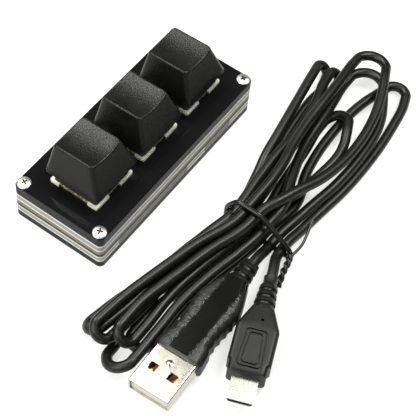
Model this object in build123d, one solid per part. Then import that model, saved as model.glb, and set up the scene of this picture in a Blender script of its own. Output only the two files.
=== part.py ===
from build123d import *
import math
import os

# A three-key macro keypad in a stacked plate case, with its loose tied data cable beside it.
# Millimetres. Origin at the middle of the case's underside, +Z up, +X along the row of keys,
# -Y towards the user's side and the cable.

# Case stack. The margin is from the switch openings to the edge of the case.
case_margin = 7.7
case_corner_radius = 1.6
bottom_plate_thickness = 2.3
lower_spacer_thickness = 2.6
board_thickness = 2.0
upper_spacer_thickness = 3.0
top_plate_thickness = 3.0
plate_edge_chamfer = 0.2
cut_overrun = 1.0

# Case screws and nuts
screw_edge_distance = 2.1
screw_diameter = 2.0
screw_hole_clearance = 0.1
screw_head_diameter = 4.0
screw_head_height = 0.8
screw_head_side_height = 0.3
screw_end_height = 0.4
cross_recess_span = 1.9
cross_recess_width = 0.45
cross_recess_depth = 0.55
nut_diameter = 3.2
nut_thickness = 2.0
nut_clearance = 0.05

# Keys
key_count = 3
key_pitch = 20.0
key_travel = 4.0

# Keycap
cap_base_size = 17.6
cap_base_corner_radius = 1.5
cap_rim_gap = 1.0
cap_top_length = 11.9
cap_top_width = 12.8
cap_top_corner_radius = 1.3
cap_top_offset = 1.35
cap_crown_height = 4.3
cap_top_fall = 0.4
cap_dish_depth = 0.85
cap_edge_fillet = 0.35
cap_wall = 1.3
cap_top_wall = 0.9
cap_inner_offset = 0.7
cap_roof = 2.2
cap_post_diameter = 5.5
cap_post_rise = 1.6
cap_cross_clearance = 0.05

# Switch
flange_overhang = 0.9
flange_thickness = 0.8
flange_end_notch_width = 9.4
flange_end_notch_depth = 0.5
flange_side_notch_width = 4.6
flange_side_notch_depth = 0.7
flange_corner_radius = 0.6
base_size = 13.8
base_depth = 5.0
base_wall = 1.1
base_floor = 0.8
base_taper = 0.35
cutout_clearance = 0.1
spacer_cutout_clearance = 0.6
post_diameter = 3.9
post_length = 3.0
post_bore_diameter = 2.7
post_end_wall = 0.3
post_hole_clearance = 0.05
pin_diameter = 1.0
pin_length = 3.4
pin_hole_clearance = 0.2
pin_bore_clearance = 0.05
fixed_pin_wall_distance = 1.64
fixed_pin_y = 2.54
moving_pin_x = 2.54
moving_pin_wall_distance = 0.37
top_housing_overhang = 0.2
top_housing_top_length = 11.2
top_housing_top_width = 10.6
top_housing_height = 6.6
top_housing_wall = 1.0
top_housing_corner_radius = 0.8
stem_length = 7.0
stem_width = 5.4
stem_clearance = 0.3
stem_skirt_length = 9.4
stem_skirt_width = 6.8
stem_skirt_height = 1.2
stem_bottom_height = 1.6
stem_shoulder_height = 6.5
stem_cavity_diameter = 4.6
stem_roof = 1.2
stem_shaft_diameter = 2.3
stem_shaft_depth = 3.2
cross_span = 4.0
cross_thickness = 1.2
cross_height = 3.6
spring_diameter = 3.7
spring_wire = 0.35
spring_turns = 8
spring_end_gap = 0.1
contact_thickness = 0.3
contact_foot_thickness = 0.4
contact_plate_width = 2.6
contact_plate_top = 0.6
contact_gap = 0.2
contact_reach = 5.2
contact_arm_height = 1.3

# Lower spacer openings
window_corner_radius = 1.0
long_window_start = -27.0
long_window_end = 3.7
short_window_start = 12.0
short_window_end = 24.0
window_front_wall = 2.8
window_back_wall = 6.4
socket_pocket_clearance = 0.2

# Circuit board parts
socket_width = 7.5
socket_height = 2.45
socket_depth = 5.2
socket_wall = 0.3
socket_corner_radius = 0.6
socket_recess = 0.1
tongue_width = 3.9
tongue_thickness = 0.6
tongue_setback = 0.7
tongue_root = 1.2
tongue_clearance = 0.12
socket_pad_count = 5
socket_pad_pitch = 0.65
socket_pad_width = 0.3
socket_pad_thickness = 0.1
chip_length = 6.5
chip_width = 4.4
chip_height = 1.1
chip_standoff = 0.1
chip_x = -11.0
chip_y = -2.0
chip_lead_count = 10
chip_lead_pitch = 0.62
chip_lead_width = 0.25
chip_lead_thickness = 0.15
chip_lead_reach = 1.0
chip_edge_chamfer = 0.15
small_part_length = 1.6
small_part_width = 0.8
small_part_height = 0.6
resistor_count = 4
resistor_pitch = 2.2
resistor_x = -14.3
resistor_y = 3.6
capacitor_count = 3
capacitor_pitch = 2.4
capacitor_x = -13.4
capacitor_y = -7.4
capacitor_length = 2.0
capacitor_width = 1.25
capacitor_height = 0.9

# Plug with the large flat shell
a_shell_width = 12.0
a_shell_height = 4.5
a_shell_wall = 0.35
a_shell_length = 12.2
a_shell_corner_radius = 0.5
a_shell_insert = 4.0
a_window_size = 2.3
a_window_spacing = 5.8
a_window_from_tip = 6.2
a_dimple_from_tip = 9.2
a_dimple_radius = 1.0
a_dimple_rise = 0.25
a_insulator_width = 11.1
a_insulator_thickness = 1.9
a_insulator_setback = 0.6
a_contact_count = 4
a_contact_pitch = 2.5
a_contact_width = 1.0
a_contact_thickness = 0.12
a_contact_setback = 1.2
a_body_length = 27.0
a_body_front_width = 13.8
a_body_waist_width = 11.8
a_body_bulge_width = 12.9
a_body_neck_width = 7.0
a_body_waist_share = 0.33
a_body_bulge_share = 0.62
a_neck_slope = 0.35
a_body_thickness = 7.6
a_body_neck_thickness = 6.4
a_body_edge_radius = 1.5
a_relief_length = 7.2
a_relief_front_diameter = 6.2
a_relief_back_diameter = 4.6
a_relief_rings = 3

# Plug with the small shell
b_shell_width = 6.85
b_shell_height = 1.8
b_shell_wall = 0.25
b_shell_length = 6.8
b_shell_slant = 0.7
b_shell_insert = 3.0
b_insulator_thickness = 0.6
b_insulator_setback = 0.5
b_contact_count = 5
b_contact_pitch = 0.65
b_contact_width = 0.3
b_contact_thickness = 0.08
b_contact_setback = 1.0
b_body_length = 21.5
b_body_width = 11.2
b_body_thickness = 7.2
b_body_shoulder_length = 9.5
b_body_nose_length = 3.6
b_body_nose_width = 9.8
b_body_neck_width = 6.6
b_body_neck_thickness = 5.8
b_body_edge_radius = 0.9
b_panel_length = 13.0
b_panel_front_width = 7.4
b_panel_back_width = 5.4
b_panel_rise = 0.3
b_panel_from_front = 5.2
b_panel_groove = 0.45
b_panel_margin = 0.9
b_relief_length = 8.4
b_relief_front_diameter = 5.8
b_relief_back_diameter = 4.4
b_relief_rings = 4
relief_groove_depth = 0.55
relief_groove_share = 0.42

# Where the plugs lie: middle of the body's front face, and turns in degrees
fit_gap = 0.05
pick_margin = 0.25
a_root = (-45.9, -47.4, 4.6)
a_yaw = 181.2
a_pitch = 0.5
a_roll = 4.0
b_root = (-39.6, -63.9, 4.0)
b_yaw = 201.5
b_pitch = 0.5
b_roll = 0.0

# Cable
cable_diameter = 2.7
lead_straight = 3.2
run_share = 0.45
small_angle = 1e-4
gap_sample_step = 0.8
gap_skip_length = 8.0

# The bundle at its tie: strands lie in columns from the back and in layers from the floor
tie_x = -1.5
tie_middle_y = -41.7
slot_middle = 2.5
slot_pitch = 3.2
first_layer_height = 2.6
hank_end_slot = (0, 4)

# The bundle's half turns in the order of the cable. Each row has the slot (layer, column) that
# the strand comes from, the points of the leg out, the turn itself and the points of the leg
# back. A turn is its side (1 is +X), middle, radius, fan, lean and dip in degrees, and whether
# the strand enters it on the side away from the user.
hank_turns = [
    ((0, 5), [(10, -50.8, 1.6), (30, -52.3, 1.35), (49, -53, 1.35)],
     (1, 64.8, -49, 1.35, 2.75, 8, 0, 0, False),
     [(49, -47, 1.35), (30, -46, 1.35), (14, -44.6, 1.35)]),
    ((0, 3), [(-12, -42, 2), (-22, -39.7, 1.4), (-31, -38.7, 1.35)],
     (-1, -45.3, -36, 1.35, 2.75, 0, 0, 0, False),
     [(-22, -36.3, 1.5), (-12, -38.6, 2)]),
    ((0, 2), [(8, -39.1, 1.9), (16, -37.4, 1.4), (28, -34.9, 1.35)],
     (1, 42.2, -37.1, 1.35, 4.1, 0, 0, 0, True),
     [(28, -41.4, 1.35), (17, -41.2, 1.5), (8, -41, 4.5)]),
    ((1, 2), [(-12, -38.6, 5.6), (-21, -36.7, 5), (-31, -35.4, 4.7)],
     (-1, -48.1, -33.6, 6.3, 2.7, 0, -40, 0, False),
     [(-22, -35.3, 8.3)]),
    ((2, 2), [(14, -40.1, 9.2), (30, -39.1, 7.5), (48, -38.9, 5.4)],
     (1, 66.7, -34.3, 4.5, 4.8, 8, 0, 25, False),
     [(58, -30.4, 5.8), (48, -31.2, 6.2), (30, -33.4, 7.8), (14, -36.7, 9)]),
    ((2, 1), [(-22, -31.5, 8.3)],
     (-1, -50.6, -28.4, 6.2, 2.75, 6, 35, 0, True),
     [(-22, -33.1, 5.1), (-12, -35.2, 5.6)]),
    ((1, 1), [(14, -35.9, 5.2), (21, -34, 3.9), (28, -31.7, 2.3), (42, -29.7, 1.35)],
     (1, 56.8, -28.5, 3.1, 2.75, 12, -40, 0, False),
     [(42, -27.6, 4.9), (28, -30.3, 5.4), (21, -31.6, 6), (14, -32.6, 5.9)]),
    ((1, 0), [(-12, -31.9, 5.5), (-22, -29.9, 5)],
     (-1, -49.1, -25, 3, 2.75, 10, 35, 0, False),
     [(-22, -29.4, 1.6), (-12, -31.9, 2.2)]),
    ((0, 0), [(14, -30.8, 2.5), (21, -28.7, 3.8), (28, -27, 4.4), (42, -24, 4.8)],
     (1, 56.8, -23.6, 3.1, 2.75, 14, 40, 0, True),
     [(42, -26.3, 1.35), (28, -28.4, 1.35), (14, -34.1, 1.6)]),
    ((0, 1), [(-12, -35.2, 2), (-22, -33, 1.5), (-42, -29.9, 1.35), (-48, -30, 1.35)],
     (-1, -52.8, -35.4, 2.9, 3.9, 0, -24, 0, True),
     [(-43, -38.8, 4.5), (-31, -38.7, 4.7), (-21, -40, 5), (-12, -42, 5.6)]),
    ((1, 3), [(8, -43.2, 7), (16, -40.4, 5.7), (30, -35.9, 4.7), (46, -34.7, 4.7)],
     (1, 60, -38.8, 1.4, 4.75, 2, 0, 0, True),
     [(52, -43.7, 2.2), (42, -44, 4.3), (28, -45, 4.7), (16, -46.2, 4.4), (8, -46.9, 3.2)]),
]

# The wire tie: its loop as (y, z) in the plane of the waist, its twisted ends and its tail
tie_wire = 1.1
tie_corner_radius = 1.2
tie_twist_diameter = 1.9
tie_loop = [(-31.4, 0.6), (-31.4, 6.6), (-34.3, 11.2), (-41.4, 11.2), (-46.4, 8.0),
            (-52.3, 3.6), (-52.3, 0.6)]
tie_twist = [(-1.9, -52.6, 3.2), (-4.4, -53.5, 3.4), (-7.6, -54.0, 2.6), (-11.4, -55.1, 1.6)]
tie_tail = [(-2.6, -52.9, 3.2), (0.6, -53.6, 3.4), (4.2, -53.3, 3.6), (10.2, -51.6, 4.2)]

# Sizes and places that follow from the ones above
case_length = (key_count - 1) * key_pitch + base_size + 2 * case_margin
case_width = base_size + 2 * case_margin
cap_rim_height = key_travel + cap_rim_gap
cap_front_height = stem_shoulder_height + cross_height + cap_crown_height
cap_back_height = cap_front_height - cap_top_fall
flange_size = base_size + 2 * flange_overhang
top_housing_size = base_size + 2 * top_housing_overhang
base_inner_size = base_size - 2 * base_taper - 2 * base_wall
fixed_pin_x = fixed_pin_wall_distance - base_inner_size / 2
moving_pin_y = base_inner_size / 2 - moving_pin_wall_distance
board_bottom = bottom_plate_thickness + lower_spacer_thickness
board_top = board_bottom + board_thickness
plate_bottom = board_top + upper_spacer_thickness
plate_top = plate_bottom + top_plate_thickness
key_places = [(index - (key_count - 1) / 2) * key_pitch for index in range(key_count)]
screw_places = [
    (x_side * (case_length / 2 - screw_edge_distance),
     y_side * (case_width / 2 - screw_edge_distance))
    for x_side in (-1, 1)
    for y_side in (-1, 1)
]


def block(length, width, height, x=0, y=0, base=0):
    """A block whose footprint is centred on x and y and which stands on the height base."""
    return Pos(x, y, base + height / 2) * Box(length, width, height)


def rod(diameter, length, x=0, y=0, base=0):
    """An upright round rod that stands on the height base."""
    return Pos(x, y, base + length / 2) * Cylinder(diameter / 2, length)


def section(length, width, radius, height, y=0):
    """A level rounded rectangle for a loft."""
    return Pos(0, y, height) * RectangleRounded(length, width, radius)


def joined(pieces):
    """One shape made of several that touch or overlap."""
    return Part() + list(pieces)


def case_layer(thickness, base):
    """One plate of the stack with its four screw holes."""
    plate = Pos(0, 0, base) * extrude(
        RectangleRounded(case_length, case_width, case_corner_radius), thickness
    )
    hole = screw_diameter + 2 * screw_hole_clearance
    for x, y in screw_places:
        plate -= rod(hole, thickness + 2 * cut_overrun, x, y, base - cut_overrun)
    return plate


def square_openings(size, height, base):
    """The row of square openings that the switches pass through."""
    return joined(
        block(size, size, height + 2 * cut_overrun, x, 0, base - cut_overrun)
        for x in key_places
    )


def top_plate():
    plate = case_layer(top_plate_thickness, plate_bottom)
    rim = plate.faces().sort_by(Axis.Z)[-1].outer_wire().edges()
    plate = chamfer(rim, plate_edge_chamfer)
    return plate - square_openings(
        base_size + 2 * cutout_clearance, top_plate_thickness, plate_bottom
    )


def upper_spacer():
    layer = case_layer(upper_spacer_thickness, board_top)
    return layer - square_openings(
        base_size + 2 * spacer_cutout_clearance, upper_spacer_thickness, board_top
    )


def circuit_board():
    board = case_layer(board_thickness, board_bottom)
    depth = board_thickness + 2 * cut_overrun
    base = board_bottom - cut_overrun
    for x in key_places:
        board -= rod(post_diameter + 2 * post_hole_clearance, depth, x, 0, base)
        for pin_x, pin_y in ((fixed_pin_x, fixed_pin_y), (moving_pin_x, moving_pin_y)):
            board -= rod(pin_diameter + 2 * pin_hole_clearance, depth, x + pin_x, pin_y, base)
    return board


def spacer_window(start, end):
    """A rounded opening through the lower spacer, from start to end along the case."""
    front = window_front_wall - case_width / 2
    back = case_width / 2 - window_back_wall
    outline = RectangleRounded(end - start, back - front, window_corner_radius)
    place = Pos((start + end) / 2, (front + back) / 2, bottom_plate_thickness - cut_overrun)
    return place * extrude(outline, lower_spacer_thickness + 2 * cut_overrun)


def lower_spacer():
    layer = case_layer(lower_spacer_thickness, bottom_plate_thickness)
    layer -= spacer_window(long_window_start, long_window_end)
    layer -= spacer_window(short_window_start, short_window_end)
    pocket_depth = socket_depth + socket_recess + socket_pocket_clearance
    pocket = block(
        socket_width + 2 * socket_pocket_clearance,
        pocket_depth + cut_overrun,
        lower_spacer_thickness + 2 * cut_overrun,
        0,
        case_width / 2 - pocket_depth + (pocket_depth + cut_overrun) / 2,
        bottom_plate_thickness - cut_overrun,
    )
    return layer - pocket


def bottom_plate():
    plate = case_layer(bottom_plate_thickness, 0)
    rim = plate.faces().sort_by(Axis.Z)[0].outer_wire().edges()
    plate = chamfer(rim, plate_edge_chamfer)
    for x, y in screw_places:
        plate -= rod(
            nut_diameter + 2 * nut_clearance, nut_thickness + nut_clearance + cut_overrun,
            x, y, -cut_overrun,
        )
    return plate


def case_screws():
    """Four pan head screws with cross recesses, from the top plate down into the nuts."""
    head_radius = screw_head_diameter / 2
    with BuildPart() as screw:
        with BuildSketch(Plane.XZ):
            with BuildLine():
                Line((0, 0), (head_radius, 0))
                Line((head_radius, 0), (head_radius, screw_head_side_height))
                TangentArc((0, screw_head_height), (head_radius, screw_head_side_height),
                           tangent=(1, 0))
                Line((0, screw_head_height), (0, 0))
            make_face()
        revolve(axis=Axis.Z)
    recess = block(
        cross_recess_span,
        cross_recess_width,
        cross_recess_depth + cut_overrun,
        0,
        0,
        screw_head_height - cross_recess_depth,
    )
    head = screw.part - recess - Rot(0, 0, 90) * recess
    shank_length = plate_top - screw_end_height
    whole = head + rod(screw_diameter, shank_length, 0, 0, -shank_length)
    return [Pos(x, y, plate_top) * whole for x, y in screw_places]


def case_nuts():
    """Four round press-in nuts, flush with the underside."""
    nut = rod(nut_diameter, nut_thickness) - rod(
        screw_diameter + 2 * nut_clearance, nut_thickness + 2 * cut_overrun, 0, 0, -cut_overrun
    )
    return [Pos(x, y, 0) * nut for x, y in screw_places]


def keycap(x):
    """A hollow cap with four drafted sides, a curved dish and a post with a cross socket."""
    tilt = math.degrees(math.atan2(cap_back_height - cap_front_height, cap_top_width))
    top_plane = Plane(
        Location((x, cap_top_offset, plate_top + (cap_front_height + cap_back_height) / 2),
                 (tilt, 0, 0))
    )
    base = Pos(x, 0, plate_top + cap_rim_height) * RectangleRounded(
        cap_base_size, cap_base_size, cap_base_corner_radius
    )
    top = top_plane * RectangleRounded(cap_top_length, cap_top_width, cap_top_corner_radius)
    outside = loft([base, top], ruled=True)
    half = cap_top_length / 2
    dish_radius = (half**2 + cap_dish_depth**2) / (2 * cap_dish_depth)
    dish = Cylinder(dish_radius, cap_top_width + 2 * cut_overrun, rotation=(90, 0, 0))
    outside -= top_plane * (Pos(0, 0, dish_radius - cap_dish_depth) * dish)
    roof_edges = (
        outside.edges()
        .filter_by_position(
            Axis.Z, plate_top + cap_back_height - cap_dish_depth - cap_edge_fillet,
            plate_top + cap_front_height + cap_edge_fillet,
        )
        .filter_by(lambda edge: edge.center().Z > plate_top + cap_back_height - 2 * cap_dish_depth)
    )
    outside = fillet(roof_edges, cap_edge_fillet)
    inner_base = Pos(x, 0, plate_top + cap_rim_height) * RectangleRounded(
        cap_base_size - 2 * cap_wall, cap_base_size - 2 * cap_wall, cap_base_corner_radius / 2
    )
    inner_place = top_plane * Pos(0, cap_inner_offset - cap_top_offset, -cap_roof)
    inner_top = inner_place * RectangleRounded(
        cap_top_length - cap_top_wall, cap_top_width - cap_wall, cap_top_corner_radius / 2
    )
    shell = outside - loft([inner_base, inner_top], ruled=True)
    post_base = plate_top + cap_rim_height + cap_post_rise
    roof_height = plate_top + cap_back_height - cap_roof / 2 - cap_dish_depth
    shell += rod(cap_post_diameter, roof_height - post_base, x, 0, post_base)
    return shell - stem_cross(x, cap_cross_clearance)


def stem_cross(x, clearance=0):
    """The cross on top of the stem, grown by a clearance when it cuts the socket."""
    span = cross_span + 2 * clearance
    thickness = cross_thickness + 2 * clearance
    base = plate_top + stem_shoulder_height - (cut_overrun if clearance else 0)
    height = plate_top + stem_shoulder_height + cross_height + clearance - base
    return block(span, thickness, height, x, 0, base) + block(thickness, span, height, x, 0, base)


def switch_base_housing(x):
    """The lower housing: a flange with four corner lugs, a body and a hollow centre post."""
    flange = Pos(x, 0, plate_top) * extrude(
        RectangleRounded(flange_size, flange_size, flange_corner_radius), flange_thickness
    )
    for side in (-1, 1):
        end_notch = block(
            2 * flange_end_notch_depth, flange_end_notch_width, flange_thickness,
            x + side * flange_size / 2, 0, plate_top,
        )
        side_notch = block(
            flange_side_notch_width, 2 * flange_side_notch_depth, flange_thickness,
            x, side * flange_size / 2, plate_top,
        )
        flange -= end_notch + side_notch
    low = base_size - 2 * base_taper
    body = Pos(x, 0, plate_top - base_depth) * loft(
        [
            section(low, low, flange_corner_radius, 0),
            section(base_size, base_size, flange_corner_radius, base_depth - top_plate_thickness),
            section(base_size, base_size, flange_corner_radius, base_depth),
        ],
        ruled=True,
    )
    floor = plate_top - base_depth + base_floor
    cavity = block(
        base_inner_size, base_inner_size, base_depth + flange_thickness + cut_overrun, x, 0, floor
    )
    post_end = plate_top - base_depth - post_length
    post = rod(post_diameter, post_length, x, 0, post_end)
    bore = rod(post_bore_diameter, floor - post_end, x, 0, post_end + post_end_wall)
    housing = flange + body - cavity + post - bore
    for pin_x, pin_y in ((fixed_pin_x, fixed_pin_y), (moving_pin_x, moving_pin_y)):
        housing -= rod(
            pin_diameter + 2 * pin_bore_clearance, base_floor + 2 * cut_overrun,
            x + pin_x, pin_y, plate_top - base_depth - cut_overrun,
        )
    return housing


def switch_top_housing(x):
    """The upper housing: a tapered hood with a sleeve that guides and stops the stem."""
    seat = plate_top + flange_thickness
    top = plate_top + top_housing_height
    radius = top_housing_corner_radius

    def hood(shrink, lift):
        return loft(
            [
                Pos(x, 0, seat) * RectangleRounded(
                    top_housing_size - shrink, top_housing_size - shrink, radius
                ),
                Pos(x, 0, top - lift) * RectangleRounded(
                    top_housing_top_length - shrink, top_housing_top_width - shrink, radius
                ),
            ],
            ruled=True,
        )

    housing = hood(0, 0) - hood(2 * top_housing_wall, top_housing_wall)
    stop = plate_top + stem_bottom_height + stem_skirt_height
    opening_length = stem_length + 2 * stem_clearance
    opening_width = stem_width + 2 * stem_clearance
    sleeve = block(
        opening_length + top_housing_wall, opening_width + top_housing_wall,
        top - stop - top_housing_wall / 2, x, 0, stop,
    )
    return housing + sleeve - block(
        opening_length, opening_width, top_housing_height + cut_overrun, x, 0, seat
    )


def switch_stem(x):
    """The plunger: shoulder, skirt, spring cavity, centre shaft and cross."""
    bottom = plate_top + stem_bottom_height
    shoulder = plate_top + stem_shoulder_height
    stem = block(stem_length, stem_width, shoulder - bottom, x, 0, bottom)
    stem += block(stem_skirt_length, stem_skirt_width, stem_skirt_height, x, 0, bottom)
    roof = shoulder - stem_roof
    stem -= rod(stem_cavity_diameter, roof - bottom + cut_overrun, x, 0, bottom - cut_overrun)
    shaft_end = plate_top - stem_shaft_depth
    stem += rod(stem_shaft_diameter, shoulder - shaft_end, x, 0, shaft_end)
    return stem + stem_cross(x)


def switch_spring(x):
    """A coil spring with closed flat ends, from the floor of the housing to the stem."""
    floor = plate_top - base_depth + base_floor
    roof = plate_top + stem_shoulder_height - stem_roof
    height = roof - floor - 2 * spring_end_gap - spring_wire
    radius = (spring_diameter - spring_wire) / 2
    path = Helix(height / spring_turns, height, radius)
    profile = Plane(origin=path @ 0, z_dir=path % 0) * Circle(spring_wire / 2)
    coil = sweep(profile, path=path)
    return Pos(x, 0, floor + spring_end_gap + spring_wire / 2) * coil


def fixed_contact(x):
    """The contact plate that stands by the stem, with its foot and its solder pin."""
    floor = plate_top - base_depth + base_floor
    plate_y = moving_pin_y - contact_gap - contact_thickness
    pin = rod(pin_diameter, floor + pin_length - plate_top + base_depth + base_floor,
              x + fixed_pin_x, fixed_pin_y, plate_top - base_depth - pin_length)
    foot_width = plate_y - fixed_pin_y + pin_diameter / 2
    foot = block(
        contact_plate_width / 2, foot_width, contact_foot_thickness,
        x + fixed_pin_x, fixed_pin_y - pin_diameter / 2 + foot_width / 2, floor,
    )
    plate = block(
        contact_plate_width, contact_thickness, base_depth - base_floor - contact_plate_top,
        x + fixed_pin_x + contact_plate_width / 4, plate_y, floor,
    )
    return pin + foot + plate


def moving_contact(x):
    """The leaf contact: solder pin, upright and the arm that faces the fixed plate."""
    floor = plate_top - base_depth + base_floor
    pin = rod(pin_diameter, pin_length + base_floor, x + moving_pin_x, moving_pin_y,
              plate_top - base_depth - pin_length)
    upright = block(
        contact_plate_width / 2, contact_thickness, base_depth - base_floor,
        x + moving_pin_x, moving_pin_y + contact_gap / 2, floor,
    )
    arm = block(
        contact_reach, contact_thickness, contact_arm_height,
        x + moving_pin_x - contact_reach / 2 + contact_plate_width / 4,
        moving_pin_y + contact_gap / 2, plate_top - contact_arm_height,
    )
    return pin + upright + arm


def usb_socket_shell():
    """The folded metal shell of the data socket, open towards the back edge."""
    outer = RectangleRounded(socket_width, socket_height, socket_corner_radius)
    inner = RectangleRounded(
        socket_width - 2 * socket_wall, socket_height - 2 * socket_wall,
        socket_corner_radius - socket_wall,
    )
    mouth = case_width / 2 - socket_recess
    place = Plane(
        origin=(0, mouth, board_bottom - socket_height / 2), x_dir=(1, 0, 0), z_dir=(0, -1, 0)
    )
    return place * (extrude(outer, socket_depth) - extrude(inner, socket_depth - socket_wall))


def usb_socket_tongue():
    back = case_width / 2 - socket_recess - socket_depth + socket_wall
    front = case_width / 2 - socket_recess - tongue_setback
    mid = board_bottom - socket_height / 2
    root = block(
        socket_width - 2 * (socket_wall + tongue_clearance), tongue_root,
        socket_height - 2 * (socket_wall + tongue_clearance), 0, back + tongue_root / 2,
        mid - socket_height / 2 + socket_wall + tongue_clearance,
    )
    blade = block(
        tongue_width, front - back, tongue_thickness, 0, (front + back) / 2,
        mid - tongue_thickness / 2,
    )
    return root + blade


def usb_socket_contacts():
    back = case_width / 2 - socket_recess - socket_depth + socket_wall + tongue_root
    front = case_width / 2 - socket_recess - tongue_setback - socket_wall
    top = board_bottom - socket_height / 2 - tongue_thickness / 2
    places = [(index - (socket_pad_count - 1) / 2) * socket_pad_pitch
              for index in range(socket_pad_count)]
    return [
        block(socket_pad_width, front - back, socket_pad_thickness, x, (front + back) / 2,
              top - socket_pad_thickness)
        for x in places
    ]


def controller_chip():
    body = block(
        chip_length, chip_width, chip_height, chip_x, chip_y,
        board_bottom - chip_standoff - chip_height,
    )
    return chamfer(body.edges().filter_by(Axis.Z), chip_edge_chamfer)


def controller_leads():
    """Two rows of bent leads from the chip's long sides up to the board."""
    middle = board_bottom - chip_standoff - chip_height / 2
    first = chip_x - (chip_lead_count - 1) / 2 * chip_lead_pitch
    leads = []
    for index in range(chip_lead_count):
        for side in (-1, 1):
            edge = chip_y + side * chip_width / 2
            x = first + index * chip_lead_pitch
            arm = block(
                chip_lead_width, chip_lead_reach / 2, chip_lead_thickness,
                x, edge + side * chip_lead_reach / 4, middle - chip_lead_thickness / 2,
            )
            drop = block(
                chip_lead_width, chip_lead_thickness,
                board_bottom - middle + chip_lead_thickness / 2,
                x, edge + side * chip_lead_reach / 2, middle - chip_lead_thickness / 2,
            )
            foot = block(
                chip_lead_width, chip_lead_reach / 2, chip_lead_thickness,
                x, edge + side * 3 * chip_lead_reach / 4, board_bottom - chip_lead_thickness,
            )
            leads.append(arm + drop + foot)
    return leads


def row_of_parts(count, pitch, x, y, length, width, height):
    """A row of small two-ended parts on the underside of the board."""
    return [
        block(width, length, height, x + index * pitch, y, board_bottom - height)
        for index in range(count)
    ]


def board_resistors():
    return row_of_parts(
        resistor_count, resistor_pitch, resistor_x, resistor_y,
        small_part_length, small_part_width, small_part_height,
    )


def board_capacitors():
    return row_of_parts(
        capacitor_count, capacitor_pitch, capacitor_x, capacitor_y,
        capacitor_length, capacitor_width, capacitor_height,
    )


def along_x(length, width, height, start, y, middle):
    """A block that starts at start and runs along X, with its middle height given."""
    return Pos(start + length / 2, y, middle) * Box(length, width, height)


def shell_tube(outline, wall, length, insert):
    """A folded metal shell, open at the tip, with its root end inside the moulded body."""
    turn = Pos(-insert, 0, 0) * Rot(0, 90, 0) * Rot(0, 0, 90)
    whole = turn * extrude(outline, length + insert)
    return whole - turn * extrude(offset(outline, -wall), length + insert + cut_overrun)


def relief(front, back, length, rings):
    """A ribbed strain relief that runs along -X, with a groove behind each ring but the last."""
    step = length / rings
    points = [(0, 0)]
    for ring in range(rings):
        start = ring * step
        groove = start + step * (1 - relief_groove_share)
        end = start + step
        points.append((start, (front + (back - front) * start / length) / 2))
        after = (front + (back - front) * groove / length) / 2
        if ring < rings - 1:
            points += [
                (groove, after),
                (groove, after - relief_groove_depth),
                (end, after - relief_groove_depth),
            ]
    points += [(length, back / 2), (length, 0)]
    with BuildPart() as body:
        with BuildSketch(Plane.XY):
            with BuildLine():
                Polyline(*[(-x, y) for x, y in points], close=True)
            make_face()
        revolve(axis=Axis.X)
    return body.part


def usb_a_outline():
    return RectangleRounded(a_shell_width, a_shell_height, a_shell_corner_radius)


def usb_a_shell():
    """The large flat shell with two windows in each wide side and a dimple on top."""
    shell = shell_tube(usb_a_outline(), a_shell_wall, a_shell_length, a_shell_insert)
    for side in (-1, 1):
        shell -= block(
            a_window_size, a_window_size, 2 * a_shell_height,
            a_shell_length - a_window_from_tip, side * a_window_spacing / 2, -a_shell_height,
        )
    dome_radius = (a_dimple_radius**2 + a_dimple_rise**2) / (2 * a_dimple_rise)
    dimple_x = a_shell_length - a_dimple_from_tip
    face = a_shell_height / 2
    dome = Pos(dimple_x, 0, face + a_dimple_rise - dome_radius) * Sphere(dome_radius)
    cap = rod(2 * a_dimple_radius, a_dimple_rise + a_shell_wall / 2, dimple_x, 0,
              face - a_shell_wall / 2)
    return shell + (dome & cap)


def usb_a_insulator():
    length = a_shell_length + a_shell_insert - a_insulator_setback
    middle = (a_shell_height - a_insulator_thickness) / 2 - a_shell_wall - fit_gap
    return along_x(
        length, a_insulator_width, a_insulator_thickness, -a_shell_insert, 0, -middle
    )


def usb_a_contacts():
    """Four flat contacts on the face of the insulator."""
    length = a_shell_length - a_insulator_setback - a_contact_setback
    middle = (
        a_shell_wall + fit_gap + a_insulator_thickness + a_contact_thickness / 2
        - a_shell_height / 2
    )
    return [
        along_x(
            length, a_contact_width, a_contact_thickness, 0,
            (index - (a_contact_count - 1) / 2) * a_contact_pitch, middle,
        )
        for index in range(a_contact_count)
    ]


def usb_a_overmould():
    """The moulded grip with waisted sides that narrows to the strain relief."""
    front = a_body_front_width / 2
    waist = a_body_waist_width / 2
    bulge = a_body_bulge_width / 2
    neck = a_body_neck_width / 2
    waist_x = -a_body_length * a_body_waist_share
    bulge_x = -a_body_length * a_body_bulge_share
    with BuildPart() as body:
        with BuildSketch(Plane.XY):
            with BuildLine():
                Line((0, -front), (0, front))
                Spline((0, front), (waist_x, waist), (bulge_x, bulge), (-a_body_length, neck),
                       tangents=[(-1, 0), (-1, -a_neck_slope)])
                Line((-a_body_length, neck), (-a_body_length, -neck))
                Spline((-a_body_length, -neck), (bulge_x, -bulge), (waist_x, -waist), (0, -front),
                       tangents=[(1, -a_neck_slope), (1, 0)])
            make_face()
        extrude(amount=a_body_thickness / 2, both=True)
        with BuildSketch(Plane.XZ):
            half = a_body_thickness / 2
            thin = a_body_neck_thickness / 2
            with BuildLine():
                Polyline((0, -half), (0, half), (bulge_x, half), (-a_body_length, thin),
                         (-a_body_length, -thin), (bulge_x, -half), close=True)
            make_face()
        extrude(amount=a_body_front_width, both=True, mode=Mode.INTERSECT)
    solid = body.part
    rims = solid.edges().filter_by(
        lambda edge: abs(edge.center().Z) > thin - pick_margin and edge.center().X < 0
    )
    rims = [edge for edge in rims if abs(edge.center().Y) > waist / 2]
    solid = fillet(rims, a_body_edge_radius)
    pocket = Pos(-a_shell_insert, 0, 0) * Rot(0, 90, 0) * Rot(0, 0, 90) * extrude(
        offset(usb_a_outline(), fit_gap), a_shell_insert + cut_overrun
    )
    return solid - pocket


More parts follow.
